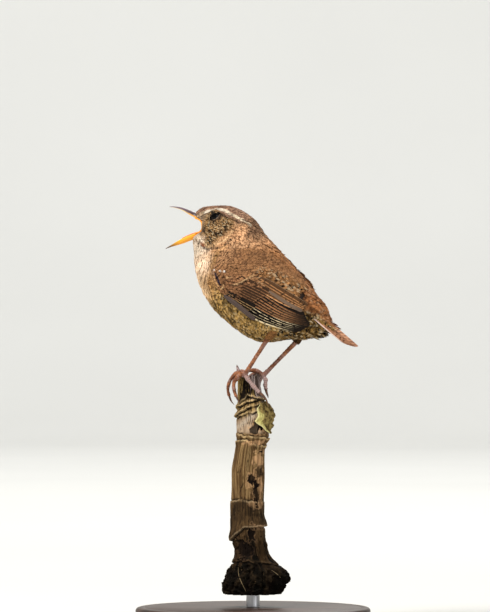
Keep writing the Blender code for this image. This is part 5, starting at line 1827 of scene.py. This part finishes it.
# Each lamp's name, place from the aim, direction it shines from, size, power and colour
LAMPS = (
    ("key", BACK * 0.55 - RIGHT * 0.75 + UP * 1.05, None, 0.55, 21.0, (1.0, 0.97, 0.92)),
    ("fill", BACK * 1.2 + RIGHT * 0.9 + UP * 0.35, None, 0.9, 7.0, (0.95, 0.97, 1.0)),
    ("rim", -BACK * 0.9 + RIGHT * 0.35 + UP * 0.9, None, 0.5, 8.0, (1.0, 0.98, 0.95)),
    ("backdrop", -BACK * 1.5 + UP * 1.5, BACK * 1.6 + UP * 1.2, 1.2, 26.0, (1.0, 1.0, 1.0)),
)


def placed(name, data, place, facing):
    """An object at a place, turned so that its own axis points along facing."""
    made = linked(name, data)
    made.location = place
    made.rotation_euler = Vector(facing).to_track_quat("Z", "Y").to_euler()
    return made


def floor():
    """A pale floor that sweeps up behind the model."""
    finish = Finish("pale_floor", roughness=0.9, specular=0.1)
    finish.colour(finish.between(finish.noise(3.0, detail=2.0), (214, 213, 208), (222, 221, 216)))
    bend = np.linspace(0, math.pi / 2, 24)
    depth = np.concatenate([[-20.0], 2.6 + 0.8 * np.sin(bend), [3.4]])[:, None, None]
    height = np.concatenate([[0.0], 0.8 - 0.8 * np.cos(bend), [4.0]])[:, None, None]
    across = np.linspace(-20.0, 20.0, 9)[None, :, None]
    points = -BACK * depth + RIGHT * across + UP * height
    mesh = bpy.data.meshes.new("floor")
    mesh.from_pydata(points.reshape(-1, 3).tolist(), [], grid_faces(*points.shape[:2]).tolist())
    mesh.materials.append(finish.material)
    mesh.shade_smooth()
    sweep = linked("floor", mesh)


def studio():
    """The floor, soft lights and the camera at the photo's angle."""
    scene = bpy.context.scene
    floor()
    scene.world = bpy.data.worlds.new("soft_room")
    scene.world.use_nodes = True
    room = scene.world.node_tree.nodes["Background"].inputs
    room["Color"].default_value = (0.93, 0.96, 1.0, 1.0)
    room["Strength"].default_value = 0.55
    for name, offset, facing, size, power, colour in LAMPS:
        light = bpy.data.lights.new(name, "AREA")
        light.shape, light.size, light.energy, light.color = "DISK", size, power, colour
        lamp = placed(name, light, LAMPS_AIM + offset, offset if facing is None else facing)
        lamp.visible_camera = False

    camera = bpy.data.cameras.new("camera")
    camera.lens = camera.sensor_width * CAMERA_DISTANCE / VIEW_HEIGHT
    camera.clip_start, camera.clip_end = 0.05, 50.0
    middle = RIGHT * PICTURE_RIGHT + UP * PICTURE_UP
    scene.camera = placed("camera", camera, middle + BACK * CAMERA_DISTANCE, BACK)
    scene.view_settings.view_transform = "Standard"


def main():
    studio()
    contour = plumage_finish("contour_feathers", 0.28, 0.5)
    # Quills with darker inner sides: partly their own dark web, partly painted shadow of the quill above
    flight = plumage_finish("quill_feathers", 0.34, 0.5, 0.7, 0.15, 0.1, dark_web_and_shadow=True)
    tail = plumage_finish("tail_quills", 0.34, 0.5, 0.6, 0.4, 0.0)
    lining = plain_finish("mouth_lining", shade(226, 132, 40), 0.25, roughness=0.35, specular=0.5)
    soft_gape = plain_finish("gape_skin", shade(240, 158, 36), 0.18, roughness=0.38, specular=0.5)
    tongue_skin = plain_finish("tongue_skin", shade(222, 128, 70), 0.2, roughness=0.35, specular=0.5)
    claw_horn = plain_finish("claw_horn", shade(92, 60, 42), 0.4, roughness=0.4, specular=0.35)
    bed = plain_finish("wing_bed", shade(44, 30, 22), 0.3, roughness=0.9)
    upper_horn = horn_finish(
        "upper_horn",
        ((62, 44, 44), (104, 84, 92), (0.2, 0.7)),
        ((236, 160, 48), (226, 206, 160), (0.3, 0.6)),
        (0.12, 0.42),
        ((236, 150, 44), (220, 180, 110)),
        0.36,
    )
    lower_horn = horn_finish(
        "lower_horn",
        ((238, 158, 30), (78, 58, 30), (0.5, 0.88)),
        ((244, 178, 34), (96, 62, 26), (0.56, 0.92)),
        (0.1, 0.5),
        ((236, 130, 26), (120, 66, 24)),
        0.38,
    )
    bark = bark_finish()

    skin(skin_finish(), lining)
    eyes(eye_finish(), lid_finish())
    bill_half("upper", UPPER_BILL, 0.22, True, upper_horn)
    bill_half("lower", LOWER_BILL, 0.4, False, lower_horn)
    gape_flange(soft_gape)
    tongue(tongue_skin)
    claws(claw_horn)
    body_coat(contour)
    thigh_coat(contour)
    wing_beds(bed)
    wing_quills(flight)
    wing_coverts(contour)
    tail_feathers(tail)
    stem(bark)
    bark_flap(flap_finish())
    splinter(bark)
    hanging_fibres(bark)
    stand(wood_finish(), steel_finish())


main()
